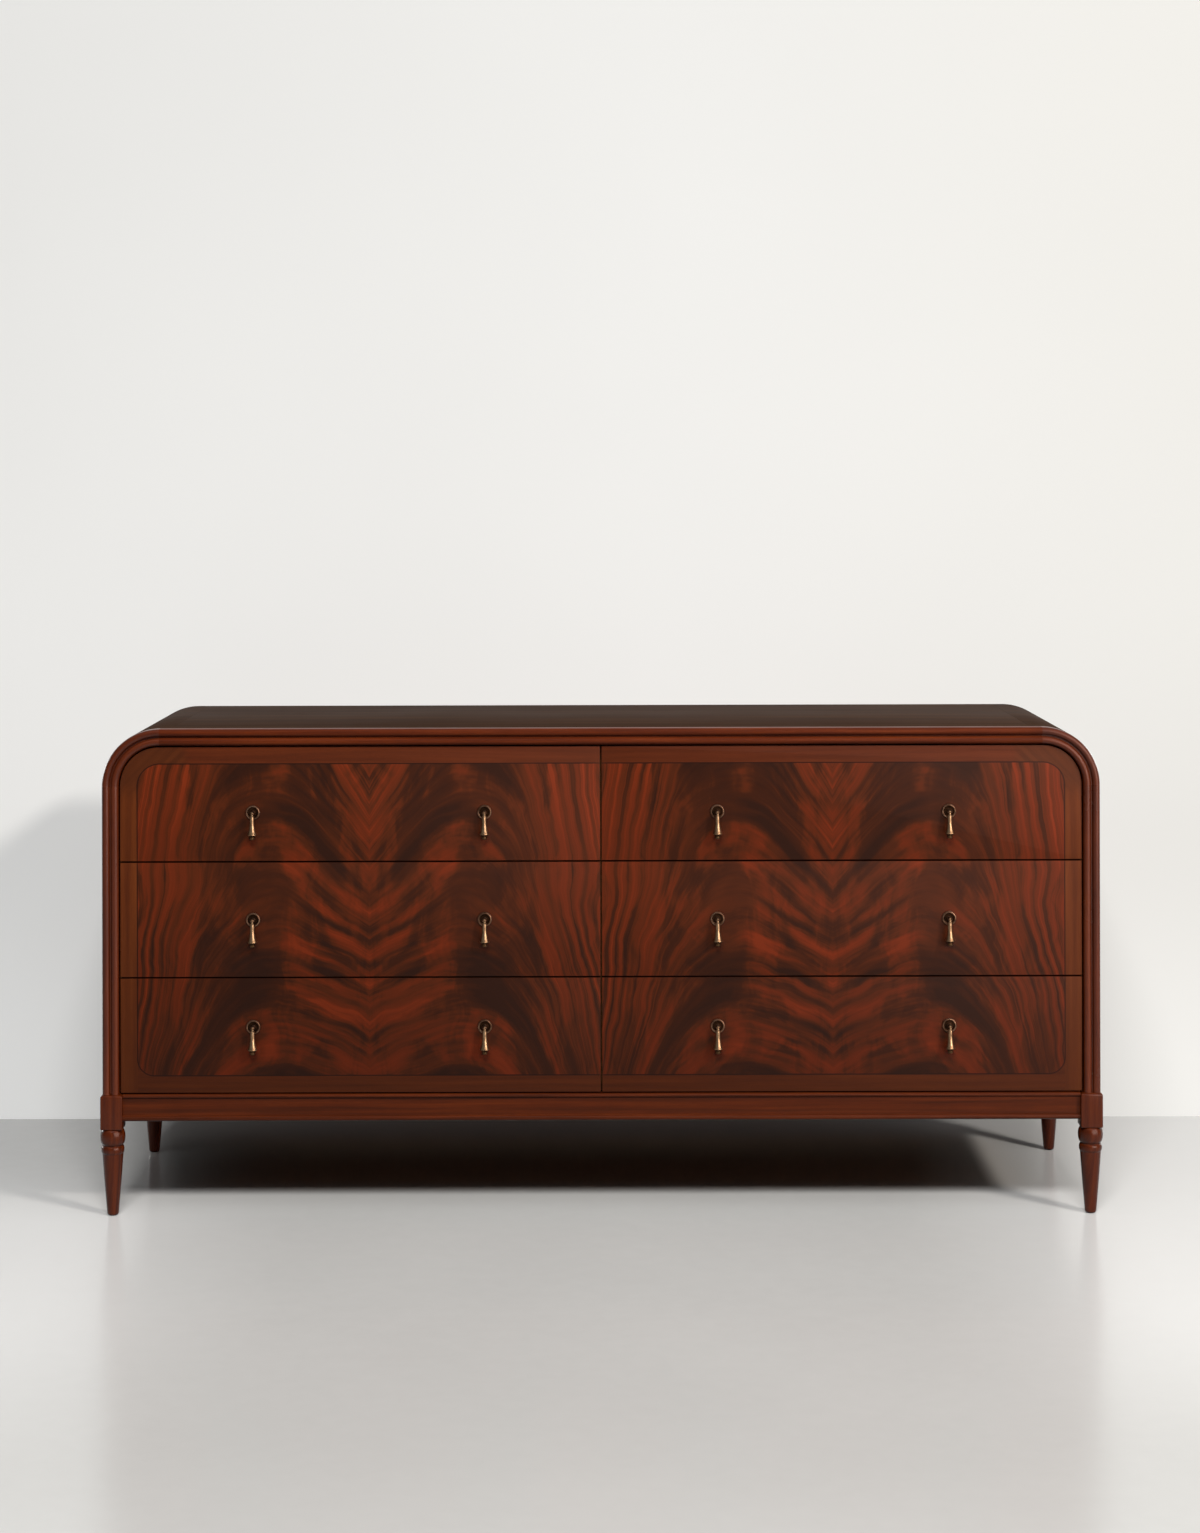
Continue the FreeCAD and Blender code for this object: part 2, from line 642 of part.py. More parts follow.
def make_post(x, z):
    """A stem with a threaded end and a slotted ball that holds the hinge pin."""
    post = new_body()
    bolt_end = (
        "(Sizes.front_thickness - Sizes.recess_depth + Sizes.nut_thickness + Sizes.bolt_tail)"
    )
    ball_start = "(Sizes.pivot_reach - sqrt(Sizes.knob_radius ^ 2 - Sizes.stem_radius ^ 2))"
    section = [
        ("0", bolt_end),
        ("0", "-(Sizes.pivot_reach + Sizes.knob_radius)", "Sizes.knob_radius", -1),
        ("Sizes.stem_radius", f"-{ball_start}"),
        ("Sizes.stem_radius", "-Sizes.boss_height"),
        ("Sizes.bolt_radius", "-Sizes.boss_height"),
        ("Sizes.bolt_radius", bolt_end),
    ]
    revolve(post, outline(post, "XY_Plane", section))
    half = "(Sizes.knob_slot / 2)"
    bottom = "-(Sizes.pivot_reach - Sizes.eye_radius - Sizes.slot_clearance)"
    beyond = "-(Sizes.pivot_reach + 2 * Sizes.knob_radius)"
    slot = [(f"-{half}", beyond), (half, beyond), (half, bottom), (f"-{half}", bottom)]
    cut = "4 * Sizes.knob_radius"
    pocket(post, outline(post, "XY_Plane", slot), cut, side="Symmetric")
    centre = [("-Sizes.pivot_reach", "0")]
    hole = circles(post, "YZ_Plane", centre, "Sizes.pin_radius + Sizes.pin_clearance")
    pocket(post, hole, cut, side="Symmetric")
    return place(post, x, "Sizes.front_setback", z)


def make_pin(x, z):
    pin = doc.addObject("Part::Cylinder", "Pin")
    bind(pin, Radius="Sizes.pin_radius", Height="Sizes.pin_length")
    pin.Placement.Rotation = FreeCAD.Rotation(FreeCAD.Vector(0, 1, 0), 90)
    depth = "Sizes.front_setback - Sizes.pivot_reach"
    return place(pin, f"{x} - Sizes.pin_length / 2", depth, z)


def make_nut(x, z):
    nut = new_body()
    corners = []
    for corner in range(6):
        angle = f"{corner} * 60 deg"
        corners.append((f"Sizes.nut_radius * cos({angle})", f"Sizes.nut_radius * sin({angle})"))
    pad(nut, outline(nut, "XZ_Plane", corners), "Sizes.nut_thickness", flip=True)
    hole = "Sizes.bolt_radius + Sizes.bolt_clearance"
    pocket(nut, circles(nut, "XZ_Plane", [("0", "0")], hole), "Sizes.nut_thickness")
    return place(nut, x, f"{front_back} - Sizes.recess_depth", z)


def make_pendant(label, x, z):
    """A flared bell with a button under it, hung by an eye on the hinge pin."""
    pendant = new_body()
    neck = "Sizes.pendant_neck_radius"
    bell = "(Sizes.pendant_start + Sizes.pendant_neck_length)"
    rim = f"({bell} + Sizes.flare_length)"
    underside = f"({rim} + Sizes.rim_height)"
    button = f"({underside} + Sizes.underside_height)"
    end = f"({button} + Sizes.tip_height)"
    section = [
        ("0", "-Sizes.pendant_start"),
        ("0", f"-{end}"),
        ("Sizes.tip_radius - Sizes.tip_rounding", f"-{end}", "Sizes.tip_rounding", -1),
        ("Sizes.tip_radius", f"-({end} - Sizes.tip_rounding)"),
        ("Sizes.tip_radius", f"-{button}"),
        ("Sizes.flare_radius", f"-{underside}"),
        ("Sizes.flare_radius", f"-{rim}", "Sizes.flare_curve", 1),
        (neck, f"-{bell}"),
        (neck, "-Sizes.pendant_start"),
    ]
    revolve(pendant, outline(pendant, "XZ_Plane", section))
    eye = "Sizes.eye_radius"
    root = "-(Sizes.pendant_start + Sizes.pendant_neck_length / 4)"
    tab = [
        (f"-{eye}", root),
        (eye, root),
        (eye, "0", eye, -1),
        ("0", eye, eye, -1),
        (f"-{eye}", "0"),
    ]
    pad(pendant, outline(pendant, "YZ_Plane", tab), "Sizes.eye_thickness", side="Symmetric")
    hole = circles(pendant, "YZ_Plane", [("0", "0")], "Sizes.pin_radius + Sizes.pin_clearance")
    pocket(pendant, hole, "2 * Sizes.eye_thickness", side="Symmetric")
    place(pendant, x, "Sizes.front_setback - Sizes.pivot_reach", z)
    keep(label, pendant)


def make_drawer(name, side, row):
    make_front(f"{name}_drawer_front", side, row)
    make_box(name, side, row)
    fittings = []
    height = f"({front_bottom(row)} + {pull_height(row)})"
    for where, way in pulls:
        x = pull_x(side, way)
        fittings += [make_rosette(x, height), make_post(x, height)]
        fittings += [make_pin(x, height), make_nut(x, height)]
        make_pendant(f"{name}_pendant_{where}", x, height)
    group(f"{name}_pull_mounts", fittings)


def check(thing):
    """Stops at a failed object, an empty or broken shape, or a cut that took nothing away."""
    if "Invalid" in thing.State or "Error" in thing.State:
        raise RuntimeError(f"{thing.Name} in {thing.Label} failed: {thing.State}")
    if thing.TypeId == "PartDesign::Pocket":
        before = thing.BaseFeature.Shape.Volume
        if not thing.Shape.Volume < before:
            raise RuntimeError(f"{thing.Name} cuts nothing")


make_reeds()
make_shell()
make_inside()
make_base()
front_leg = "Sizes.leg_block / 2"
back_leg = "Sizes.case_depth - Sizes.leg_block / 2"
for hand, side in columns:
    make_leg(f"leg_front_{hand}", side, front_leg)
    make_leg(f"leg_back_{hand}", side, back_leg)
for hand, side in columns:
    for row, level in enumerate(rows):
        make_drawer(f"{level}_{hand}", side, row)

doc.recompute()
for thing in doc.Objects:
    check(thing)
for label, thing in nodes.items():
    shape = thing.Shape
    if shape.isNull() or not shape.isValid() or not shape.Solids:
        raise RuntimeError(f"{label} has no sound solid")

os.makedirs("parts", exist_ok=True)
for label, thing in nodes.items():
    thing.Shape.exportStep(f"parts/{label}.step")
print(f"{len(nodes)} pieces written")
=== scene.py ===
import math

import bmesh
import bpy
from mathutils import Matrix, Vector


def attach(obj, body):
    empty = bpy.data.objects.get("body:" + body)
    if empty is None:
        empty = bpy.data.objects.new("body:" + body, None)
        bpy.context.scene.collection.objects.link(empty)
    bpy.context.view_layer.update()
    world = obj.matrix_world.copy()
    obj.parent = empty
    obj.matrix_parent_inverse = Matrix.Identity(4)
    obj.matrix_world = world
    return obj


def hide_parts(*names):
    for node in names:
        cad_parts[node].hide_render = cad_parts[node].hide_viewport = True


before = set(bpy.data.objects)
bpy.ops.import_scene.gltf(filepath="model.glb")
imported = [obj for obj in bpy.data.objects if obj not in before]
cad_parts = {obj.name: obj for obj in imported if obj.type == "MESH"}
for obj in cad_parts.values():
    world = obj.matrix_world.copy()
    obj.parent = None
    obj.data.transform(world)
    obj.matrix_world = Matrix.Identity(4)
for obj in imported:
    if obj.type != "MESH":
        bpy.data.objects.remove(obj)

print("frame loaded:", len(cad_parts), "nodes")

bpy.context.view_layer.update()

# places that many pieces share, in metres
case = {
    "halfWidth": 0.840,
    "front": -0.21165,
    "back": 0.24435,
    "top": 0.820,
    "bottom": 0.205,
    "cornerX": 0.743,
    "cornerZ": 0.723,
    "cornerRadius": 0.097,
    "panel": 0.022,
    "topJoint": 0.725,
    "blockFace": -0.23565,
    "endFace": 0.843,
}
hands = (("left", -1), ("right", 1))
levels = (("bottom", 0.207), ("middle", 0.402), ("top", 0.597))
# the six drawers: level, height of the front's low edge, hand and side
drawerPlaces = [level + hand for level in levels for hand in hands]


# shader helpers

def tint(text):
    # "#rrggbb" as a linear colour
    parts = [int(text[i:i + 2], 16) / 255 for i in (1, 3, 5)]
    return (*[p / 12.92 if p <= 0.04045 else ((p + 0.055) / 1.055) ** 2.4 for p in parts], 1)


class Wire:
    # a socket that can be used in Python expressions
    def __init__(self, finish, socket):
        self.finish = finish
        self.socket = socket

    def math(self, operation, *values):
        return self.finish.node("ShaderNodeMath", {"operation": operation}, dict(enumerate(values)))

    def __add__(self, other):
        return self.math("ADD", self, other)

    __radd__ = __add__

    def __sub__(self, other):
        return self.math("SUBTRACT", self, other)

    def __rsub__(self, other):
        return self.math("SUBTRACT", other, self)

    def __mul__(self, other):
        return self.math("MULTIPLY", self, other)

    __rmul__ = __mul__

    def __truediv__(self, other):
        return self.math("DIVIDE", self, other)

    def __pow__(self, other):
        return self.math("POWER", self, other)

    def __abs__(self):
        return self.math("ABSOLUTE", self)

    def atLeast(self, other):
        return self.math("MAXIMUM", self, other)

    def atMost(self, other):
        return self.math("MINIMUM", self, other)

    def over(self, edge):
        return self.math("GREATER_THAN", self, edge)

    def step(self, low, high):
        # rises softly from 0 at low to 1 at high
        soft = {"interpolation_type": "SMOOTHSTEP"}
        return self.finish.node("ShaderNodeMapRange", soft, {0: self, 1: low, 2: high})


class Finish:
    # a material, or the world, and the few ways its nodes are made
    def __init__(self, name, kind="Material", **uniform):
        self.owner = {"Material": bpy.data.materials, "World": bpy.data.worlds}[kind].new(name)
        self.owner.use_nodes = True
        self.tree = self.owner.node_tree
        self.tree.nodes.clear()
        self.out = self.tree.nodes.new("ShaderNodeOutput" + kind)
        if kind == "Material":
            self.shader = self.tree.nodes.new("ShaderNodeBsdfPrincipled")
            self.tree.links.new(self.shader.outputs[0], self.out.inputs[0])
            self.paint(**uniform)

    def node(self, kind, settings, sockets, output=0):
        made = self.tree.nodes.new(kind)
        for key, value in settings.items():
            setattr(made, key, value)
        for key, value in sockets.items():
            self.feed(made.inputs[key], value)
        return Wire(self, made.outputs[output])

    def several(self, kind, names, **sockets):
        # more than one output of a node
        made = self.node(kind, {}, sockets).socket.node
        return [Wire(self, made.outputs[name]) for name in names]

    def feed(self, socket, value):
        if isinstance(value, Wire):
            self.tree.links.new(value.socket, socket)
        elif isinstance(value, str):
            socket.default_value = tint(value)
        else:
            socket.default_value = value

    def paint(self, **sockets):
        for key, value in sockets.items():
            self.feed(self.shader.inputs[key.replace("_", " ")], value)

    def split(self, coordinate):
        # x, y and z of a texture coordinate
        coords = self.node("ShaderNodeTexCoord", {}, {}, coordinate)
        return self.several("ShaderNodeSeparateXYZ", "XYZ", Vector=coords)

    def place(self):
        return self.split("Object")

    def noise(self, x, y, z, detail=2.0, rough=0.5, bend=0.0):
        at = self.node("ShaderNodeCombineXYZ", {}, {0: x, 1: y, 2: z})
        sockets = {"Vector": at, "Scale": 1.0, "Detail": detail, "Roughness": rough}
        return self.node("ShaderNodeTexNoise", {}, {**sockets, "Distortion": bend})

    def clouds(self, scale, detail=3.0, rough=0.5):
        x, y, z = self.place()
        return self.noise(x * scale, y * scale, z * scale, detail, rough)

    def ramp(self, value, places, tones):
        made = self.node("ShaderNodeValToRGB", {}, {0: value})
        elements = made.socket.node.color_ramp.elements
        while len(elements) < len(places):
            elements.new(1.0)
        for element, place, tone in zip(elements, places, tones):
            element.position = place
            element.color = tint(tone)
        return made

    def blend(self, amount, first, second):
        kind = {"data_type": "RGBA", "clamp_factor": True}
        return self.node("ShaderNodeMix", kind, {0: amount, 6: first, 7: second}, 2)

    def bump(self, height, strength, distance):
        sockets = {"Strength": strength, "Distance": distance, "Height": height}
        return self.node("ShaderNodeBump", {}, sockets)


# mesh helpers

def arc(centre, radius, start, end, steps):
    # points along an arc, both ends kept, in degrees
    turns = [math.radians(start + (end - start) * i / steps) for i in range(steps + 1)]
    return [(centre[0] + radius * math.cos(t), centre[1] + radius * math.sin(t)) for t in turns]


def roundedBox(low, high, radii, inset, steps):
    # a rectangle with its own radius at each corner, from lower left anticlockwise
    (left, foot), (right, head) = low, high
    corners = ((left, foot, 180), (right, foot, 270), (right, head, 0), (left, head, 90))
    points = []
    for (x, y, start), radius in zip(corners, radii):
        inward = (1 if x == left else -1, 1 if y == foot else -1)
        rest = max(radius - inset, 1e-5)
        centre = (x + inward[0] * (inset + rest), y + inward[1] * (inset + rest))
        points += arc(centre, rest, start, start + 90, steps)
    return points


def stand(point, along, axis):
    # a flat outline's point placed along the third axis
    u, v = point
    return {"x": (along, u, v), "y": (u, along, v), "z": (u, v, along)}[axis]


def skin(rings, loop=False):
    # quads between rings of one count; an open run gets its two end faces
    made = bmesh.new()
    rows = [[made.verts.new(point) for point in ring] for ring in rings]
    pairs = list(zip(rows, rows[1:]))
    if loop:
        pairs.append((rows[-1], rows[0]))
    else:
        made.faces.new(rows[0])
        made.faces.new(rows[-1])
    for first, second in pairs:
        for a, b, c, d in zip(first, first[1:] + first[:1], second[1:] + second[:1], second):
            made.faces.new((a, b, c, d))
    bmesh.ops.remove_doubles(made, verts=made.verts, dist=1e-7)
    bmesh.ops.recalc_face_normals(made, faces=made.faces)
    return made


def slab(outline, low, high, axis, edges, steps=2):
    # a plate between two places on an axis, with its two rims rounded off
    rings = []
    for place, edge, inward in ((low, edges[0], 1), (high, edges[1], -1)):
        run = []
        for i in range(steps + 1):
            turn = math.pi / 2 * i / steps
            inset = edge * (1 - math.sin(turn))
            along = place + inward * edge * (1 - math.cos(turn))
            run.append([stand(point, along, axis) for point in outline(inset)])
        rings += run if inward > 0 else run[::-1]
    return skin(rings)


def plank(low, high, edge, axis="y"):
    # a straight board with small rounded edges
    run = "xyz".index(axis)
    near, far = [(*point[:run], *point[run + 1:]) for point in (low, high)]
    return slab(
        lambda inset: roundedBox(near, far, (edge,) * 4, inset, 2),
        low[run], high[run], axis, (edge, edge),
    )


def turned(profile, centre, axis, steps, loop=False):
    # a turned shape from (radius, place along the axis) pairs
    rings = []
    for radius, along in profile:
        circle = arc(centre, radius, 0, 360, steps)[:-1]
        rings.append([stand(point, along, axis) for point in circle])
    return skin(rings, loop)


def gather(shapes):
    whole = bmesh.new()
    for shape in shapes:
        loose = bpy.data.meshes.new("loose")
        shape.to_mesh(loose)
        shape.free()
        whole.from_mesh(loose)
        bpy.data.meshes.remove(loose)
    return whole


crease = 32  # an edge sharper than these degrees is shaded as an edge


def soften(data, angle=crease):
    data.shade_smooth()
    data.set_sharp_from_angle(angle=math.radians(angle))


def toMesh(name, shape, finishes, smooth=crease):
    data = bpy.data.meshes.new(name)
    shape.to_mesh(data)
    shape.free()
    soften(data, smooth)
    for finish in finishes:
        data.materials.append(finish.owner)
    return data


def newObject(name, data):
    made = bpy.data.objects.new(name, data)
    bpy.context.scene.collection.objects.link(made)
    return made


def settle(made, body, slot, *nodes):
    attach(made, body)
    if nodes:
        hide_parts(*nodes)


def casePiece(name, shape, finish, slot, *nodes, smooth=crease):
    made = newObject(name, toMesh(name, shape, [finish], smooth))
    settle(made, "case", slot, *nodes)


def framePiece(name, shape, wood, node, smooth=crease):
    casePiece(name, shape, solid[wood], "mahogany", node, smooth=smooth)


# finishes

flame = {
    "seam": 0.39,  # the book-matched joint in each column
    "crest": 0.165,  # from the seam to the top of the arches
    "turn": 0.150,  # where the arches begin to fall
    "fall": 40.0,
    "stops": (0.0, 0.22, 0.45, 0.62, 0.85),
    "tones": ("#762c12", "#62250e", "#4b200c", "#381809", "#291208"),
    # dark lobes between the arches: away from the seam, height, half width, half height
    "lobes": (
        (0.105, 0.670, 0.060, 0.085),
        (0.225, 0.700, 0.070, 0.100),
        (0.210, 0.450, 0.075, 0.080),
        (0.170, 0.560, 0.070, 0.045),
        (0.265, 0.310, 0.085, 0.090),
        (0.060, 0.425, 0.042, 0.026),
        (0.130, 0.350, 0.060, 0.030),
    ),
    # painted shade on the lower fronts: its share, the heights it fades over and its tint
    "lowShade": 0.36,
    "lowShadeRun": (0.15, 0.72),
    "shadeTint": "#120805",
    "outerLine": (0.781, 0.761),
    "footLine": 0.236,
    "cornerRadius": 0.038,
    "footRadius": 0.028,
    "lineWidth": 0.0014,
    "lineTint": "#1d0c06",
    # border strips, dark to light
    "upright": ("#4a200c", "#5a2a10", "#673315"),
    "level": ("#421c0c", "#50220e", "#5c2912"),
    "foot": ("#421d0c", "#51240e", "#5d2b11"),
    "slant": ("#3e1c0c", "#4a230f", "#552a13"),
}


def archLevel(away, height):
    # the arch a point lies on, named by its height at the seam
    rise = max(height - 0.5, 0.0) * 0.37 + 0.066
    inner = 1.0 - (1.0 - min(away / flame["crest"], 1.0)) ** 1.9
    beyond = max(away - flame["turn"], 0.0)
    return height - rise * inner + beyond ** 3 * flame["fall"]


def flameField(f, x, z):
    # crotch mahogany, matched about the seam: arches outside, chevrons at the joint
    right = x.over(0.0)
    across = x - (right - 0.5) * (2 * flame["seam"])
    seamAway = abs(across)
    bendA = f.noise(seamAway * 4.0 + 7.3, z * 4.0, 0.6 + right * 0.12) - 0.5
    bendB = f.noise(seamAway * 7.0 + 1.7, z * 5.0, 4.1 + right * 0.12) - 0.5
    handed = f.noise(across * 5.0 + 3.0, z * 5.0, 8.0, 1.0, 0.5) - 0.5
    ripple = f.noise(seamAway * 24.0, z * 18.0, 5.0 + across * 1.5) - 0.5
    ease = seamAway.step(0.0, 0.10)
    u = seamAway + (bendA * 0.045 + handed * 0.035 + ripple * 0.010) * ease
    v = z + bendB * 0.05 + ripple * 0.009
    rise = (v - 0.5).atLeast(0.0) * 0.37 + 0.066
    inner = 1.0 - (1.0 - (u / flame["crest"]).atMost(1.0)) ** 1.9
    beyond = (u - flame["turn"]).atLeast(0.0)
    level = v - (rise * inner - beyond ** 3.0 * flame["fall"])
    # stripes, narrow at the seam and broad outside
    bandIn = f.noise(level * 40.0, u * 4.5 + 2.0, 1.0 + right * 0.1, 3.0, 0.55)
    bandOut = f.noise(level * 13.0 + 5.0, u * 3.0, 6.0 + right * 0.1, 4.0, 0.68)
    band = bandIn + (bandOut - bandIn) * u.step(0.08, 0.22) - 0.5
    # dark lobes, their edges torn along the grain and by upright flames
    column = (1.0 - abs(u - 0.19) / 0.17).atLeast(0.0)
    mass = f.noise(level * 5.0 + 2.0, u * 4.0, 4.0) * 1.6 + column * 0.6 - 1.25
    sway = (f.noise(v * 8.0, u * 5.0, 11.0) - 0.5) * 0.07 * ease
    for away, height, halfWidth, halfHeight in flame["lobes"]:
        du = (u + sway - away) / halfWidth
        dv = (level - archLevel(away, height)) / halfHeight
        mass = mass.atLeast(1.0 - du * du - dv * dv)
    torn = f.noise(level * 20.0, u * 7.0, 9.6 + right * 0.1, 4.0, 0.66) - 0.5
    upright = f.noise((u + sway) * 22.0 + 3.0, v * 6.0 + 1.0, 2.0 + right * 0.1, 3.0, 0.6, 0.8)
    dark = (mass * 0.8 + torn * 4.0 + (upright - 0.5) * 3.2).step(-0.6, 0.65)
    calm = f.noise(across * 6.0 + 4.0, z * 6.0, 3.0, 1.0, 0.5).step(0.3, 0.7)
    fine = f.noise(level * 200.0, u * 12.0, 3.0) - 0.5
    return 0.30 + band * (1.4 + calm * 1.2) + fine * 0.2 + dark * 0.36


def straightGrain(f, along, across, through):
    # long soft streaks with short pores, about 0 to 1
    sway = f.noise(along * 2.2, across * 6.0, through) - 0.5
    streak = f.noise(along * 3.0, (across + sway * 0.012) * 90.0, through + 3.0, 4.0, 0.6)
    pore = f.noise(along * 55.0, across * 900.0, through + 9.0, 1.0, 0.5)
    return streak + (pore - 0.5) * 0.22


def makeFlameVeneer():
    f = Finish("flameVeneer", Specular_IOR_Level=0.13)
    x, y, z = f.place()
    away = abs(x)
    figure = f.ramp(flameField(f, x, z), flame["stops"], flame["tones"])
    # distance outside the rounded edge of the figured field
    lineX, lineZ = flame["outerLine"]

    def beyondCorner(dx, dz, radius):
        long = (dx.atLeast(0.0) ** 2.0 + dz.atLeast(0.0) ** 2.0) ** 0.5
        return long + dx.atLeast(dz).atMost(0.0) - radius

    topRadius = flame["cornerRadius"]
    footRadius = flame["footRadius"]
    upper = beyondCorner(away - (lineX - topRadius), z - (lineZ - topRadius), topRadius)
    footZ = flame["footLine"] + footRadius
    lower = beyondCorner(away - (lineX - footRadius), footZ - z, footRadius)
    outside = upper.atLeast(lower)
    onLine = 1.0 - abs(outside).step(flame["lineWidth"] * 0.4, flame["lineWidth"])

    def strip(name, grain):
        return f.ramp(grain, (0.25, 0.5, 0.75), flame[name])

    # border strips: foot and top, the two upper corners and the uprights
    level = straightGrain(f, x, z, 5.0)
    slant = straightGrain(f, away - z, away + z, 9.0)
    upright = straightGrain(f, z, away, 1.0)
    strips = f.blend(z.over(0.5), strip("foot", level), strip("level", level))
    corner = away.step(0.690, 0.714) * z.over(0.5)
    strips = f.blend(corner, strips, strip("slant", slant))
    sides = away.over(lineX) * (1.0 - z.step(0.69, 0.74))
    strips = f.blend(sides, strips, strip("upright", upright))
    colour = f.blend(outside.over(0.0), figure, strips)
    colour = f.blend(onLine * 0.9, colour, flame["lineTint"])
    # painted shade: the lower fronts are darkened, as if less light reached them
    lowShadeAmount = 1.0 - z.step(*flame["lowShadeRun"])
    colour = f.blend(lowShadeAmount * flame["lowShade"], colour, flame["shadeTint"])
    gloss = f.clouds(14.0)
    pores = f.noise(x * 700.0, y * 700.0, z * 260.0)
    f.paint(Base_Color=colour, Roughness=0.40 + gloss * 0.14, Normal=f.bump(pores, 0.06, 0.0004))
    return f


mahoganyTones = {
    "frame": ("#351206", "#542009", "#6c2f10"),
    "leg": ("#301005", "#4c1c06", "#62290c"),
    # painted shade: the rails, low under the drawers, get darker tones than the frame
    "rail": ("#2f1307", "#4a1d09", "#60290e"),
    # near-black edge tones: painted shade, so the gaps between the drawer fronts read dark
    "edge": ("#170803", "#200b04", "#2a1006"),
}
# each solid mahogany: the way of its grain, tones, specular level and roughness
mahogany = {
    "upright": ("z", "frame", 0.34, 0.20),
    "leg": ("z", "leg", 0.24, 0.17),
    "level": ("x", "frame", 0.14, 0.34),
    "rail": ("x", "rail", 0.14, 0.28),
    "deep": ("y", "rail", 0.14, 0.28),
    "bent": ("round", "frame", 0.30, 0.23),
    "edge": ("x", "edge", 0.03, 0.7),
}


def makeMahogany(name):
    # the grain runs along x, y, z or round the top corners
    run, tones, specular, rough = mahogany[name]
    f = Finish("mahogany" + name.capitalize(), Specular_IOR_Level=specular)
    x, y, z = f.place()
    ways = {"x": (x, y, z, 2.0), "y": (y, x, z, 4.0), "z": (z, x, y, 6.0)}
    if run in ways:
        along, across, third, through = ways[run]
        figure = straightGrain(f, along, across + third * 1.3, through)
    else:
        dx = abs(x) - case["cornerX"]
        dz = z - case["cornerZ"]
        turn = dz.math("ARCTAN2", dz, dx)
        long = (dx ** 2.0 + dz ** 2.0) ** 0.5
        figure = straightGrain(f, turn * 0.09, long + y * 1.3, 8.0)
    colour = f.ramp(figure, (0.22, 0.5, 0.8), mahoganyTones[tones])
    worn = f.clouds(9.0, 3.0, 0.55)
    f.paint(
        Base_Color=f.blend(worn.step(0.55, 0.8) * 0.25, colour, mahoganyTones[tones][0]),
        Roughness=rough + worn * 0.12,
        Normal=f.bump(figure, 0.05, 0.0005),
    )
    return f


caseTones = {
    # painted shade and painted reflection: the top's tones are darker and browner than the sides'
    "top": ("#231308", "#321e10", "#402814"),
    "side": ("#2a1208", "#3e1d0e", "#502814"),
    "turn": (0.72, 0.81),  # heights between which the one becomes the other
}


def makeCaseVeneer():
    # plain ribbon mahogany that runs up one side, over the top and down the other
    f = Finish("caseVeneer", Specular_IOR_Level=0.05)
    x, y, z = f.place()
    away = abs(x)
    leaf = away.over(case["topJoint"]) * (1.0 + x.over(0.0)) * 3.0
    along = away - z
    sway = f.noise(along * 1.4, y * 3.0, leaf) - 0.5
    ribbon = f.noise(along * 1.6, (y + sway * 0.03) * 34.0, leaf + 2.0, 4.0, 0.6)
    fine = straightGrain(f, along, y, leaf + 4.0)
    figure = ribbon * 0.6 + fine * 0.4
    sideTone = f.ramp(figure, (0.3, 0.5, 0.7), caseTones["side"])
    shadedTopTone = f.ramp(figure, (0.3, 0.5, 0.7), caseTones["top"])
    # painted shade and painted reflection: the top is given darker, browner tones than the sides
    colour = f.blend(z.step(*caseTones["turn"]), sideTone, shadedTopTone)
    cloud = f.clouds(5.0)
    f.paint(Base_Color=colour, Roughness=0.66 + cloud * 0.14, Normal=f.bump(fine, 0.05, 0.0005))
    return f


# tones of the grain; aged tone, where it is full and its share; scale and detail of its clouds
plainWoods = {
    "drawerWood": {
        "stops": (0.25, 0.5, 0.78), "tones": ("#8a6238", "#a87d4e", "#bd9565"),
        "aged": ("#87623b", 0.85, 0.3), "clouds": (6.0, 3.0, 0.55),
        "specular": 0.35, "rough": (0.5, 0.18), "relief": 0.08,
    },
    "insideWood": {
        "stops": (0.25, 0.5, 0.78), "tones": ("#5d3b20", "#76502f", "#8b6440"),
        "aged": ("#573920", 0.85, 0.35), "clouds": (5.0, 3.0, 0.55),
        "specular": 0.32, "rough": (0.52, 0.18), "relief": 0.08,
    },
    "backBoard": {
        "stops": (0.3, 0.5, 0.72), "tones": ("#4a2a18", "#613a22", "#774a2d"),
        "aged": ("#472a19", 0.8, 0.35), "clouds": (4.0, 3.0, 0.6),
        "specular": 0.3, "rough": (0.55, 0.2), "relief": 0.1,
    },
}


def makePlainWood(name):
    wood = plainWoods[name]
    f = Finish(name, Specular_IOR_Level=wood["specular"])
    x, y, z = f.place()
    if name == "drawerWood":
        # sides and bottoms run from front to back, the back board from side to side
        figure = straightGrain(f, y, x + z * 1.2, 1.0)
        backBoards = abs(f.split("Normal")[1]).over(0.7)
        figure = figure + (straightGrain(f, x, z, 6.0) - figure) * backBoards
    elif name == "insideWood":
        figure = straightGrain(f, x, y + z * 1.2, 4.0)
    else:
        figure = straightGrain(f, z, x + y, 2.0)
    shade = figure
    if name == "backBoard":
        arches = f.noise(x * 9.0, z * 1.2, 3.0, 3.0, 0.5, 1.2)
        shade = figure * 0.6 + arches * 0.4
    cloud = f.clouds(*wood["clouds"])
    aged, full, share = wood["aged"]
    rough, spread = wood["rough"]
    colour = f.ramp(shade, wood["stops"], wood["tones"])
    f.paint(
        Base_Color=f.blend(cloud.step(0.5, full) * share, colour, aged),
        Roughness=rough + cloud * spread,
        Normal=f.bump(figure, wood["relief"], 0.0006),
    )
    return f


# bright tone, aged tone and roughness of each brass, and the tone of the button under a bell,
# painted dark as shade
brass = {
    "pendant": ("#ae8f6f", "#7a5a3e", 0.29),
    "mount": ("#8c6c57", "#4a3122", 0.26),
    # the dish's dark tones are partly patina in the hollow, partly painted shade
    "dish": ("#3c281b", "#1c110a", 0.34),
    "button": "#38220f",
}


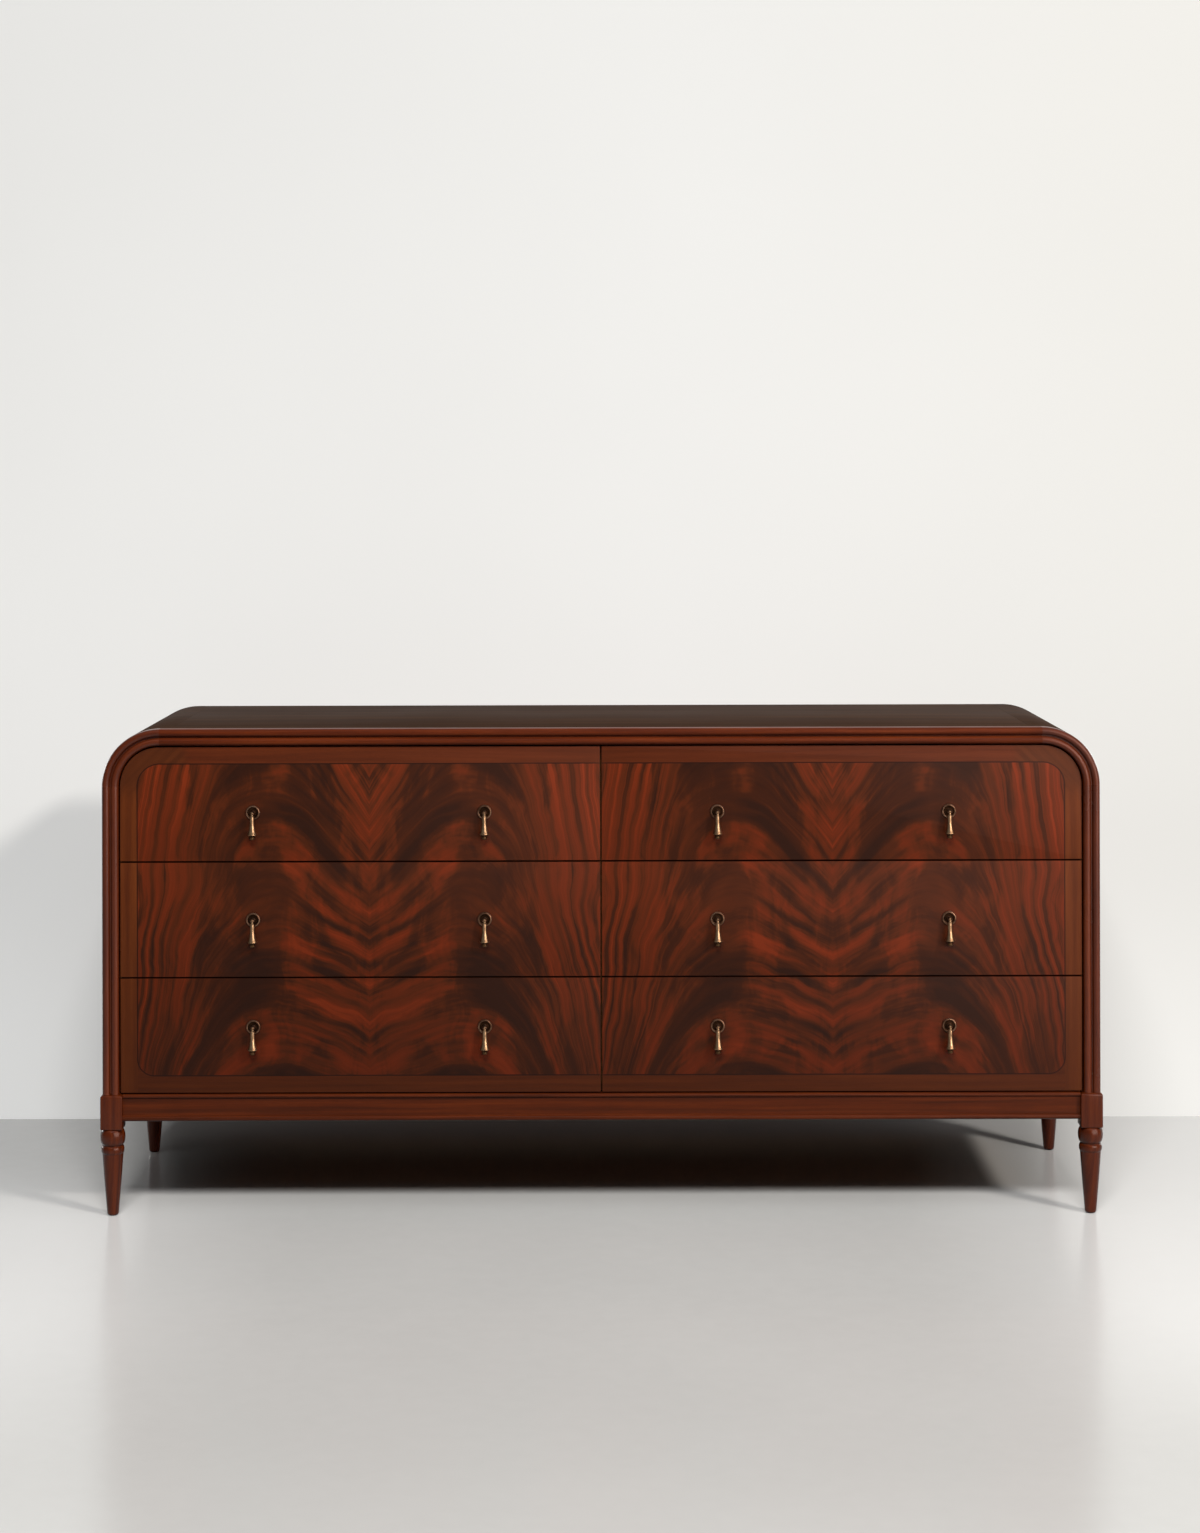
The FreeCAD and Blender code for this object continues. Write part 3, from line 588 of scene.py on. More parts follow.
def makeBrass(kind):
    f = Finish(kind + "Brass", Metallic=1.0)
    bright, aged, rough = brass[kind]
    x, y, z = f.place()
    patina = f.clouds(160.0, 4.0, 0.6)
    wear = f.noise(x * 45.0 + 2.0, y * 45.0, z * 45.0, 3.0, 0.5)
    age = (patina * 0.6 + wear * 0.6).step(0.45, 0.85)
    # painted shade: the button under the bell is darkened for the shade it sits in; no mount
    # reaches so far below its pin
    button = (0.0 - z).step(0.0360, 0.0372)
    f.paint(
        Base_Color=f.blend(button * 0.8, f.blend(age, bright, aged), brass["button"]),
        Roughness=rough + age * 0.16,
        Normal=f.bump(patina, 0.05, 0.0003),
    )
    return f


def makeSteel():
    f = Finish("screwSteel", Metallic=1.0)
    dull = f.clouds(300.0, 3.0, 0.6)
    f.paint(Base_Color=f.blend(dull, "#8b8478", "#5d564c"), Roughness=0.32 + dull * 0.2)
    return f


flameVeneer = makeFlameVeneer()
solid = {name: makeMahogany(name) for name in mahogany}
caseVeneer = makeCaseVeneer()
drawerWood, insideWood, backBoard = [makePlainWood(name) for name in plainWoods]
pendantBrass, mountBrass, dishPatinaAndShadeBrass = [makeBrass(kind) for kind in ("pendant", "mount", "dish")]
screwSteel = makeSteel()
print("finishes made")


# shell

shell = {"edge": 0.0004, "arcSteps": 28}


def cornerOutline(side, inset):
    # the rounded corner and its short flat, seen from the front
    middle = (case["cornerX"], case["cornerZ"])
    outer = case["cornerRadius"] - inset
    inner = case["cornerRadius"] - case["panel"] + inset
    steps = shell["arcSteps"]
    rim = arc(middle, outer, math.degrees(math.asin(inset / outer)), 90, steps)
    hollow = arc(middle, inner, 90, math.degrees(math.asin(inset / inner)), steps)
    flat = case["topJoint"] + inset
    points = rim + [(flat, rim[-1][1]), (flat, hollow[0][1])] + hollow
    return [(side * x, z) for x, z in points]


def makeShell():
    edge = shell["edge"]
    front = case["front"]
    back = case["back"]
    joint = case["topJoint"]
    top = plank((-joint, front, case["top"] - case["panel"]), (joint, back, case["top"]), edge)
    casePiece("topPanel", top, caseVeneer, "case_veneer", "top_panel")
    for hand, side in hands:
        near, far = sorted((side * (case["halfWidth"] - case["panel"]), side * case["halfWidth"]))
        panel = plank((near, front, case["bottom"]), (far, back, case["cornerZ"]), edge)
        casePiece(f"sidePanel.{hand}", panel, caseVeneer, "case_veneer", f"side_panel_{hand}")
        corner = slab(lambda inset: cornerOutline(side, inset), front, back, "y", (edge, edge))
        casePiece(f"topCorner.{hand}", corner, caseVeneer, "case_veneer", f"top_corner_{hand}")


backing = {
    "halfWidth": 0.8178,
    "top": 0.7978,
    "radius": 0.0748,
    "footRadius": 0.0008,
    "edge": 0.0006,
    "inner": 0.23635,
    "outer": 0.24435,
}
screw = {
    "radius": 0.0038,
    "rise": 0.0016,
    "inset": 0.012,  # from the panel's edges
    "across": (-0.72, 0.18, 9),  # first place, pitch and count
    "upwards": (0.28, 0.105, 5),
    "barReach": 0.8,  # share of the head's radius
    "barHalf": 0.0004,
    "turn": 1.1,  # from one screw to the next
}


def screwPlaces(low, high):
    # along the panel's edges and up the partition
    inset = screw["inset"]
    start, pitch, count = screw["across"]
    rows = (low[1] + inset, high[1] - inset)
    places = [(start + i * pitch, z) for i in range(count) for z in rows]
    start, pitch, count = screw["upwards"]
    for i in range(count):
        z = start + i * pitch
        places += [(low[0] + inset, z), (high[0] - inset, z)]
        if 0 < i < count - 1:
            places.append((0.0, z))
    return places


def screwShapes(x, z, angle):
    # a domed head, and a bar across it that reads as its slot
    radius = screw["radius"]
    face = backing["outer"]
    dome = [(radius, face - 0.0004)]
    for i in range(5):
        turn = math.pi / 2 * i / 4
        dome.append((radius * math.cos(turn) * 0.96, face + screw["rise"] * math.sin(turn)))
    reach = radius * screw["barReach"]
    half = screw["barHalf"]
    bar = []
    for along, wide in ((-1, -1), (1, -1), (1, 1), (-1, 1)):
        u = along * reach * math.cos(angle) - wide * half * math.sin(angle)
        v = along * reach * math.sin(angle) + wide * half * math.cos(angle)
        bar.append((x + u, z + v))
    top = face + screw["rise"]
    ends = [[stand(p, place, "y") for p in bar] for place in (top - 0.001, top + 0.0001)]
    return [turned(dome, (x, z), "y", 20), skin(ends)]


def makeBacking():
    low = (-backing["halfWidth"], case["bottom"])
    high = (backing["halfWidth"], backing["top"])
    radii = (backing["footRadius"],) * 2 + (backing["radius"],) * 2
    board = slab(
        lambda inset: roundedBox(low, high, radii, inset, 16),
        backing["inner"], backing["outer"], "y", (backing["edge"],) * 2,
    )
    casePiece("backPanel", board, backBoard, "back_board", "back_panel")
    screws = []
    for number, (x, z) in enumerate(screwPlaces(low, high)):
        screws += screwShapes(x, z, number * screw["turn"])
    casePiece("backScrews", gather(screws), screwSteel, "back_board")


# reeded frame

reeds = {
    "reed": 0.0132,
    "groove": 0.0016,
    "crest": -0.23365,
    "depth": 0.022,
    "arris": 0.0008,
    "steps": 14,
    "bendSteps": 36,
}


def reedSection():
    # (inset from the outside, depth behind the crest) round the moulding
    radius = reeds["reed"] / 2
    second = reeds["reed"] + reeds["groove"]
    points = []
    for start in (0.0, second):
        points += arc((start + radius, radius), radius, 180, 360, reeds["steps"])
    band = second + reeds["reed"]
    depth = reeds["depth"]
    arris = reeds["arris"]
    points += [(band, depth - arris), (band - arris, depth)]
    return points + [(arris, depth), (0.0, depth - arris)]


def makeReeds():
    section = [(inset, reeds["crest"] + depth) for inset, depth in reedSection()]
    middle = (case["cornerX"], case["cornerZ"])
    for hand, side in hands:
        stile = []
        for z in (case["bottom"], case["cornerZ"]):
            stile.append([(side * (case["halfWidth"] - inset), y, z) for inset, y in section])
        framePiece(f"reededStile.{hand}", skin(stile), "upright", f"reeded_stile_{hand}")
        ribs = []
        for inset, y in section:
            rib = arc(middle, case["cornerRadius"] - inset, 0, 90, reeds["bendSteps"])
            ribs.append([(side * x, y, z) for x, z in rib])
        bend = skin(list(zip(*ribs)))
        framePiece(f"reededCorner.{hand}", bend, "bent", f"reeded_corner_{hand}")
    rail = []
    for x in (-case["cornerX"], case["cornerX"]):
        rail.append([(x, y, case["top"] - inset) for inset, y in section])
    framePiece("reededRail.top", skin(rail), "level", "reeded_rail_top")


# base

base = {
    "low": 0.160,
    "height": 0.045,
    "face": 0.009,
    "inside": 0.034,
    "foot": 0.0046,
    "bead": 0.0034,
    "block": 0.037,
    "edge": 0.0012,
    "back": (0.21035, 0.23535),
    "side": (-0.19865, 0.20735),
}


def railSection():
    # (depth behind the block's face, height) round a rail
    face = base["face"]
    foot = base["foot"]
    bead = base["bead"]
    height = base["height"]
    points = [(base["inside"], 0.0)]
    points += arc((face, foot), foot, 270, 90, 14)
    points += arc((face, height - bead), bead, 270, 90, 12)
    return points + [(base["inside"], height)]


def makeBase():
    low = base["low"]
    section = [(depth, low + height) for depth, height in railSection()]
    reach = case["endFace"] - base["block"]
    front = []
    for x in (-reach, reach):
        front.append([(x, case["blockFace"] + depth, z) for depth, z in section])
    framePiece("baseRail.front", skin(front), "rail", "base_rail_front")
    near, far = base["back"]
    back = plank((-reach, near, low), (reach, far, low + base["height"]), base["edge"], "x")
    framePiece("baseRail.back", back, "rail", "base_rail_back")
    for hand, side in hands:
        rail = []
        for y in base["side"]:
            rail.append([(side * (case["endFace"] - depth), y, z) for depth, z in section])
        framePiece(f"baseRail.{hand}", skin(rail), "deep", f"base_rail_{hand}")


legs = {
    "x": 0.8245,
    "front": -0.21715,
    "back": 0.22585,
    "half": 0.0185,
    "block": (0.146, 0.205),
    "rounding": (0.0025, 0.005),
    "arris": 0.0022,
    # low and high end, radius at the ends and in the middle, sharpness
    "ring": (0.119, 0.146, 0.0165, 0.021, 1.2),
    "collar": (0.105, 0.117, 0.0176, 0.0193, 1.1),
    "neckRise": 0.0003,
    "swell": 0.00035,
    "foot": 0.0098,
    "footRounding": 0.005,
}


def ringProfile(low, high, neck, widest, sharpness, steps):
    points = []
    for i in range(steps + 1):
        turn = math.pi * i / steps
        height = (low + high) / 2 - (high - low) / 2 * math.cos(turn)
        swell = max(math.sin(turn), 0.0) ** sharpness
        points.append((neck + (widest - neck) * swell, height))
    return points


def legProfile():
    # (radius, height) from the floor up to the block
    rounding = legs["footRounding"]
    foot = legs["foot"]
    points = [(0.0, 0.0)] + arc((foot - rounding, rounding), rounding, 270, 360, 8)
    low, high, start = legs["collar"][:3]
    # the taper swells a little and rises into the collar
    for i in range(1, 13):
        share = i / 13
        radius = foot + (start - foot) * share + legs["swell"] * math.sin(math.pi * share)
        points.append((radius, rounding + (low - rounding) * share))
    points += ringProfile(*legs["collar"], 10)
    points.append((legs["ring"][2], high + legs["neckRise"]))
    return points + ringProfile(*legs["ring"], 16)


def makeLegs():
    for end in ("front", "back"):
        for hand, side in hands:
            x, y, half = side * legs["x"], legs[end], legs["half"]
            low, high = (x - half, y - half), (x + half, y + half)
            block = slab(
                lambda inset: roundedBox(low, high, (legs["arris"],) * 4, inset, 4),
                *legs["block"], "z", legs["rounding"], 7,
            )
            leg = gather([block, turned(legProfile(), (x, y), "z", 64)])
            framePiece(f"leg.{end}.{hand}", leg, "leg", f"leg_{end}_{hand}", 40)


# drawers

drawer = {
    "inner": 0.001,
    "outer": 0.810,
    "height": 0.193,
    "face": -0.22565,
    "back": -0.20565,
    "corner": 0.067,
    "edge": 0.0009,
    "border": 0.029,
    "recess": (0.005, 0.005),  # radius and depth of the sinking for a nut
    "groove": (0.022, 0.0282, 0.005),  # low side, high side and depth
    "grooveRun": (0.038, 0.791),
    "past": 0.002,  # how far the cutters reach out of the wood
}
pullX = {"inner": 0.196, "outer": 0.586}


def pullZ(level, low):
    # the middle of the figured field, which the top and foot borders shift
    shift = {"bottom": 0.5, "middle": 0.0, "top": -0.5}[level] * drawer["border"]
    return low + drawer["height"] / 2 + shift


def frontShape(side, level, low):
    near, far = sorted((side * drawer["inner"], side * drawer["outer"]))
    edge = drawer["edge"]
    radii = [edge] * 4
    if level == "top":
        radii[2 if side > 0 else 3] = drawer["corner"]
    return slab(
        lambda inset: roundedBox((near, low), (far, low + drawer["height"]), radii, inset, 20),
        drawer["face"], drawer["back"], "y", (edge, edge), 3,
    )


def cutterShape(side, level, low):
    # sinkings for the nuts, and the groove for the drawer's bottom
    z = pullZ(level, low)
    back = drawer["back"]
    past = back + drawer["past"]
    radius, depth = drawer["recess"]
    sinking = [(radius, back - depth), (radius, past)]
    shapes = [turned(sinking, (side * x, z), "y", 40) for x in pullX.values()]
    first, second, depth = drawer["groove"]
    near, far = sorted(side * x for x in drawer["grooveRun"])
    shapes.append(plank((near, back - depth, low + first), (far, past, low + second), 0.0001))
    return gather(shapes)


def cut(made, cutter):
    modifier = made.modifiers.new("sinkings", "BOOLEAN")
    modifier.operation = "DIFFERENCE"
    modifier.solver = "EXACT"
    modifier.object = cutter
    bpy.context.view_layer.update()
    depsgraph = bpy.context.evaluated_depsgraph_get()
    shaped = bpy.data.meshes.new_from_object(made.evaluated_get(depsgraph))
    made.modifiers.clear()
    old = made.data
    made.data = shaped
    bpy.data.meshes.remove(old)
    bpy.data.objects.remove(cutter)


def makeFronts():
    for level, low, hand, side in drawerPlaces:
        finishes = [flameVeneer, solid["level"], solid["edge"]]
        name = f"drawerFront.{level}.{hand}"
        made = newObject(name, toMesh(name, frontShape(side, level, low), finishes))
        tool = toMesh("cutter", cutterShape(side, level, low), [solid["level"]])
        cut(made, newObject("cutter", tool))
        soften(made.data)
        # veneer on the face, solid wood behind, and near-black edges: painted shade in the gaps
        # between the fronts
        for polygon in made.data.polygons:
            facing = polygon.normal.y
            polygon.material_index = 0 if facing < -0.96 else 1 if facing > 0.2 else 2
        body = f"{level}_{hand}_drawer"
        settle(made, body, "flame_veneer", f"{body}_front")


# pulls

rosette = {
    "radius": 0.012,
    "edge": 0.0014,
    "bead": 0.0018,
    "dish": 0.0010,
    "boss": 0.0040,
    "hole": 0.0021,
}
post = {"stem": 0.0026, "reach": 0.013, "ball": 0.004, "slot": 0.0034, "bolt": 0.002, "end": 0.019}
pin = {"radius": 0.0012, "length": 0.007}
nut = {"radius": 0.004, "start": 0.015, "thickness": 0.0032}


def rosetteShape():
    # a dished plate with a beaded rim; depths are in front of the drawer's face
    rim = rosette["radius"]
    bead = rosette["bead"]
    edge = rosette["edge"]
    profile = [(rosette["hole"], 0.0), (rim - 0.0003, 0.0), (rim, -0.0003), (rim, -edge)]
    profile += [(rim - bead + r, -edge - d) for r, d in arc((0, 0), bead, 0, 180, 12)][1:]
    inner = rim - 2 * bead
    dish = -rosette["dish"]
    boss = rosette["boss"]
    profile += [(inner - 0.0006, -edge + 0.0002), (inner - 0.0016, dish - 0.00015)]
    profile += [(boss + 0.0006, dish + 0.0001), (boss, dish), (rosette["hole"], dish)]
    plate = turned(profile, (0, 0), "y", 56, True)
    # the dish faces take the darker brass: partly patina, partly painted shade
    for face in plate.faces:
        middle = face.calc_center_median()
        inDish = math.hypot(middle.x, middle.z) < inner and middle.y < 0
        face.material_index = 1 if inDish else 0
    return plate


def earShape(side):
    # one cheek of the slotted ball: a slice of a sphere beside the pendant's eye
    ball = post["ball"]
    half = post["slot"] / 2
    profile = []
    for i in range(9):
        x = half + (ball - 0.00015 - half) * i / 8
        profile.append((math.sqrt(ball ** 2 - x ** 2), side * x))
    return turned(profile, (-post["reach"], 0.0), "x", 36)


def postShape():
    stem = post["stem"]
    bolt = post["bolt"]
    end = post["end"]
    dish = -rosette["dish"]
    foot = post["reach"] - math.sqrt(post["ball"] ** 2 - stem ** 2)
    profile = [(0.0, -foot - 0.0006), (stem * 0.8, -foot - 0.0004), (stem, -foot)]
    profile += [(stem, dish - 0.0009), (stem + 0.0007, dish - 0.0002), (stem + 0.0007, dish)]
    profile += [(bolt, dish), (bolt, nut["start"])]
    # the thread shows beyond the nut
    for i in range(9):
        y = nut["start"] + (end - 0.0004 - nut["start"]) * i / 8
        profile.append((bolt - (0.0002 if i % 2 else 0.0), y))
    profile += [(bolt - 0.0004, end), (0.0, end)]
    return turned(profile, (0, 0), "y", 32)


def pinShape():
    half, radius = pin["length"] / 2, pin["radius"]
    profile = [(0.0, -half), (radius * 0.75, -half), (radius, -half + 0.0003)]
    profile += [(r, -along) for r, along in reversed(profile)]
    return turned(profile, (-post["reach"], 0.0), "x", 20)


def nutShape():
    outer = arc((0, 0), nut["radius"], 0, 360, 6)[:-1]
    inner = arc((0, 0), post["bolt"] + 0.0001, 0, 360, 6)[:-1]
    rings = []
    thick = nut["thickness"]
    for points, inset, place in (
        (outer, 0.0004, 0.0), (outer, 0.0, 0.0005), (outer, 0.0, thick - 0.0005),
        (outer, 0.0004, thick), (inner, 0.0, thick), (inner, 0.0, 0.0),
    ):
        scale = 1 - inset / nut["radius"]
        rings.append([(u * scale, nut["start"] + place, v * scale) for u, v in points])
    return skin(rings, True)


def mountShape():
    # two complete mounts, for the inner and the outer pull of a right-hand drawer
    shapes = []
    for x in pullX.values():
        mount = [rosetteShape(), earShape(-1), earShape(1), postShape(), pinShape(), nutShape()]
        for part in mount:
            bmesh.ops.translate(part, verts=part.verts, vec=(x, 0, 0))
        shapes += mount
    return gather(shapes)


pendant = {
    "start": 0.0047,
    "neck": 0.0038,
    "neckLength": 0.0095,
    "flare": 0.0082,
    "flareLength": 0.0213,
    "hollow": 0.060,
    "rim": 0.0012,
    "underside": 0.0029,
    "tip": 0.0046,
    "tipHeight": 0.005,
    "tipRounding": 0.002,
    "eye": 0.0029,
    "eyeThickness": 0.003,
    "eyeRounding": 0.0006,
    "hole": 0.00125,
}


def pendantProfile():
    # (radius, height) down from the pin: cap, waisted neck, hollow bell, rim and button
    neck = pendant["neck"]
    start = pendant["start"]
    points = [(0.0, -start + 0.0004), (neck * 0.72, -start + 0.0003)]
    points += [(neck - 0.0004, -start), (neck, -start - 0.0005), (neck, -start - 0.0011)]
    points += [(neck - 0.0005, -start - 0.0015), (neck - 0.0005, -start - 0.0019)]
    points += [(neck - 0.0001, -start - 0.0023), (neck, -start - 0.0030)]
    bell = start + pendant["neckLength"]
    rim = bell + pendant["flareLength"]
    # the hollow side, an arc through both of its ends
    low = (pendant["flare"], -rim)
    high = (neck, -bell)
    middle = ((low[0] + high[0]) / 2, (low[1] + high[1]) / 2)
    chord = math.dist(low, high)
    away = math.sqrt(pendant["hollow"] ** 2 - chord ** 2 / 4)
    across = ((low[1] - high[1]) / chord, (high[0] - low[0]) / chord)
    centre = (middle[0] - across[0] * away, middle[1] - across[1] * away)
    turns = [math.atan2(v - centre[1], u - centre[0]) for u, v in (high, low)]
    first, last = [math.degrees(turn) % 360 for turn in turns]
    points += arc(centre, pendant["hollow"], first, last, 18)
    wide = pendant["flare"]
    under = rim + pendant["rim"]
    points += [(wide, -rim - 0.0004), (wide, -under + 0.0003), (wide - 0.0004, -under)]
    tip = pendant["tip"]
    button = under + pendant["underside"]
    points += [(tip + 0.0009, -button + 0.0008), (tip - 0.0004, -button)]
    points += [(tip - 0.0004, -button - 0.0005), (tip, -button - 0.0009)]
    end = button + pendant["tipHeight"]
    rounding = pendant["tipRounding"]
    points += arc((tip - rounding, -end + rounding), rounding, 0, -90, 8)
    return points + [(0.0, -end)]


def eyeShape():
    # a round eye with a hole for the pin, and the web that joins it to the neck
    half = pendant["eyeThickness"] / 2
    hole = pendant["hole"]
    rounding = pendant["eyeRounding"]
    rim = pendant["eye"] - rounding
    section = [(hole, -half + 0.0001), (hole + 0.0003, -half)]
    section += arc((rim, -half + rounding), rounding, -90, 0, 4)
    section += [(r, -along) for r, along in reversed(section)]
    depth = pendant["eye"] - 0.0001
    low = (-half, -depth, -pendant["start"] - 0.0008)
    web = plank(low, (half, depth, -hole - 0.0006), 0.0005, "z")
    return gather([turned(section, (0, 0), "x", 36, True), web])


def makePulls():
    shape = gather([turned(pendantProfile(), (0, 0), "z", 56), eyeShape()])
    pendantMesh = toMesh("pendant", shape, [pendantBrass], 38)
    mountMesh = toMesh("mounts", mountShape(), [mountBrass, dishPatinaAndShadeBrass], 38)
    for level, low, hand, side in drawerPlaces:
        z = pullZ(level, low)
        body = f"{level}_{hand}_drawer"
        mesh = mountMesh.copy()
        if side < 0:
            mesh.transform(Matrix.Scale(-1, 4, (1, 0, 0)))
            mesh.flip_normals()
        mesh.transform(Matrix.Translation((0, drawer["face"], z)))
        mounts = newObject(f"pullMounts.{level}.{hand}", mesh)
        settle(mounts, body, "brass", f"{level}_{hand}_pull_mounts")
        for where, x in pullX.items():
            drop = newObject(f"pendant.{level}.{hand}.{where}", pendantMesh)
            drop.location = (side * x, drawer["face"] - post["reach"], z)
            body = f"{level}_{hand}_pendant_{where}"
            settle(drop, body, "brass", body)


# drawer boxes and the inside

inside = {"weld": 1e-5, "bevel": 0.0009, "bevelAbove": 40}


def keepNode(name, finish):
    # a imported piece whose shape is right: welded, softened at its edges and finished
    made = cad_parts[name]
    made.data.materials.clear()
    made.data.materials.append(finish.owner)
    weld = made.modifiers.new("weld", "WELD")
    weld.merge_threshold = inside["weld"]
    bevel = made.modifiers.new("soften", "BEVEL")
    bevel.width = inside["bevel"]
    bevel.segments = 2
    bevel.limit_method = "ANGLE"
    bevel.angle_limit = math.radians(inside["bevelAbove"])
    bevel.harden_normals = True
    return made


def makeInside():
    for name in ("centre_partition", "divider_rails", "drawer_runners", "corner_blocks"):
        keepNode(name, insideWood)
    keepNode("bottom_board", backBoard)
    for level, low, hand, side in drawerPlaces:
        for part in ("box", "bottom"):
            keepNode(f"{level}_{hand}_drawer_{part}", drawerWood)


makeShell()
makeBacking()
print("shell made")
makeReeds()
makeBase()
makeLegs()
print("frame made")
makeFronts()
print("drawer fronts made")
makePulls()
print("pulls made")
makeInside()
print("inside made")


# room, lights and camera

room = {
    "reach": 9.0,  # from the middle to the floor's edges
    "wallY": 0.49,
    "wallHeight": 5.0,
    "wallTint": "#f8f8f6",
    "wallShade": "#f4f4f2",
    "wallHighShade": "#b9b9b7",
    "wallFall": 0.42,
    "wallWarm": "#dcd9d0",
    "warmShare": 0.3,
    "footGlow": 0.16,
    "asideX": (0.80, 0.95),  # where the part's side ends and the open wall begins
    "floorTint": "#dddcd9",
    "floorShade": "#d4d3d0",
    "floorNearShade": "#c6c5c2",
    "nearShare": 0.35,
    "nearY": (-1.5, -0.7),
    "floorLit": "#f8f7f5",
    "windowX": (0.4, 2.0),
    "windowY": (-2.6, -1.7),
    "besideX": (0.45, 0.9),
    "besideShare": 0.7,
    "rearX": (0.0, 0.8),
    "rearY": (-0.3, 0.2),
    "floorUnderReflection": "#f0dcc6",
    "underX": (0.5, 0.8),
    "underFront": (-0.08, 0.02),
    "underBack": (0.24, 0.4),
    "floorSpecular": 0.8,
    "floorRoughness": 0.17,
    "floorBounce": "#5a5957",
    "wallBounce": "#3a3a39",
    "seenBy": ("Is Camera Ray", "Is Glossy Ray", "Is Transmission Ray"),
    "worldTint": "#eef1f4",
    "worldLow": 0.02,
    "worldHigh": 1.6,
    "worldSeen": 0.8,
    "worldGlow": 0.25,
}


def sheetOf(name, near, far, finish):
    # a flat sheet between two edges given as (y, z)
    ends = ((-1, near), (1, near), (1, far), (-1, far))
    corners = [(side * room["reach"], *edge) for side, edge in ends]
    data = bpy.data.meshes.new(name)
    data.from_pydata(corners, [], [(0, 1, 2, 3)])
    data.materials.append(finish.owner)
    made = newObject(name, data)
    return made


def paleWhereSeen(f, pale, dim, mirrored=1.0):
    # the full colour for the camera and in reflections, a dim one for bounced light
    camera, glossy, through = f.several("ShaderNodeLightPath", room["seenBy"])
    return f.blend((camera + glossy * mirrored + through).atMost(1.0), dim, pale)


def makeFloor():
    f = Finish("floorFinish", Specular_IOR_Level=room["floorSpecular"])
    x, y, z = f.place()
    cloud = f.noise(x * 1.1, y * 1.1, 0.0, 4.0, 0.55)
    speck = f.noise(x * 30.0, y * 30.0, 2.0, 3.0, 0.6)
    pale = f.ramp(cloud * 0.7 + speck * 0.3, (0.3, 0.7), (room["floorShade"], room["floorTint"]))
    # painted shade: the floor is darker nearer the camera
    far = y.step(*room["nearY"])
    pale = f.blend((1.0 - far) * room["nearShare"], pale, room["floorNearShade"])
    # painted light: the floor is brightest beside the part and before the window, out of the
    # picture
    lit = x.step(*room["windowX"]) * (1.0 - y.step(*room["windowY"]))
    rear = y.step(*room["rearY"]) * (1.0 - x.step(*room["rearX"]))
    beside = abs(x).step(*room["besideX"]) * far * (1.0 - rear) * room["besideShare"]
    pale = f.blend(lit.atLeast(beside), pale, room["floorLit"])
    # painted reflection: the floor in the shadow under the part is tinted warm, as the wood's
    # mirrored light would tint it
    depth = y.step(*room["underFront"]) * (1.0 - y.step(*room["underBack"]))
    pale = f.blend((1.0 - abs(x).step(*room["underX"])) * depth, pale, room["floorUnderReflection"])
    f.paint(
        Base_Color=paleWhereSeen(f, pale, room["floorBounce"]),
        Roughness=room["floorRoughness"] + cloud * 0.08,
    )
    return sheetOf("floor", (-room["reach"], 0), (room["reach"], 0), f)


def makeWall():
    f = Finish("wallFinish", Specular_IOR_Level=0.0, Roughness=0.8)
    x, y, z = f.place()
    cloud = f.noise(x * 0.8, z * 0.8, 0.0, 3.0, 0.5)
    pale = f.ramp(cloud, (0.3, 0.7), (room["wallShade"], room["wallTint"]))
    # painted shade: the wall darkens upwards, evening out the lamps' stronger light high on it
    pale = f.blend(z.step(0.5, 2.6) * room["wallFall"], pale, room["wallHighShade"])
    # painted light and shade: the wall is warmed and a little dulled to the right, where the warm
    # key light falls stronger
    pale = f.blend(x.step(0.0, 1.4) * room["warmShare"], pale, room["wallWarm"])
    # painted light: the wall's foot beside the part glows for the camera as pale as floor light
    # would make it; painted shade: low behind the part, reflections see the dim colour, so the
    # floor mirrors nothing bright there
    aside = abs(x).step(*room["asideX"])
    beside = aside * (1.0 - z.step(0.0, 0.6)) * room["footGlow"]
    seen = f.node("ShaderNodeLightPath", {}, {}, "Is Camera Ray")
    f.paint(
        Base_Color=paleWhereSeen(f, pale, room["wallBounce"], aside.atLeast(z.step(0.1, 0.5))),
        Emission_Color=f.blend(beside * seen, "#000000", room["wallTint"]),
        Emission_Strength=1.0,
    )
    # from behind, the wall is see-through
    clear = f.node("ShaderNodeBsdfTransparent", {}, {})
    behind = f.node("ShaderNodeNewGeometry", {}, {}, "Backfacing")
    painted = Wire(f, f.shader.outputs[0])
    shown = f.node("ShaderNodeMixShader", {}, {0: behind, 1: painted, 2: clear})
    f.feed(f.out.inputs[0], shown)
    wall = sheetOf("wall", (room["wallY"], 0), (room["wallY"], room["wallHeight"]), f)
    wall.visible_shadow = False
    return wall


def makeWorld():
    f = Finish("studio", "World")
    bpy.context.scene.world = f.owner
    side, back, up = f.split("Generated")
    front = 0.0 - back
    # a soft light above the front, stronger from the right
    level = up.step(0.46, 0.72) * (1.0 - up.step(0.90, 0.99) * 0.7) * front.step(-0.05, 0.45)
    level = level * (0.35 + side.step(-0.5, 0.4) * 0.65)
    strength = room["worldLow"] + level * (room["worldHigh"] - room["worldLow"])
    # polished things see a pale room in front
    glossy, camera = f.several("ShaderNodeLightPath", ("Is Glossy Ray", "Is Camera Ray"))
    strength = strength.atLeast(front.step(-0.2, 0.6) * glossy * room["worldGlow"])
    strength = strength.atLeast(camera * room["worldSeen"])
    sky = f.node("ShaderNodeBackground", {}, {0: room["worldTint"], 1: strength})
    f.feed(f.out.inputs[0], sky)


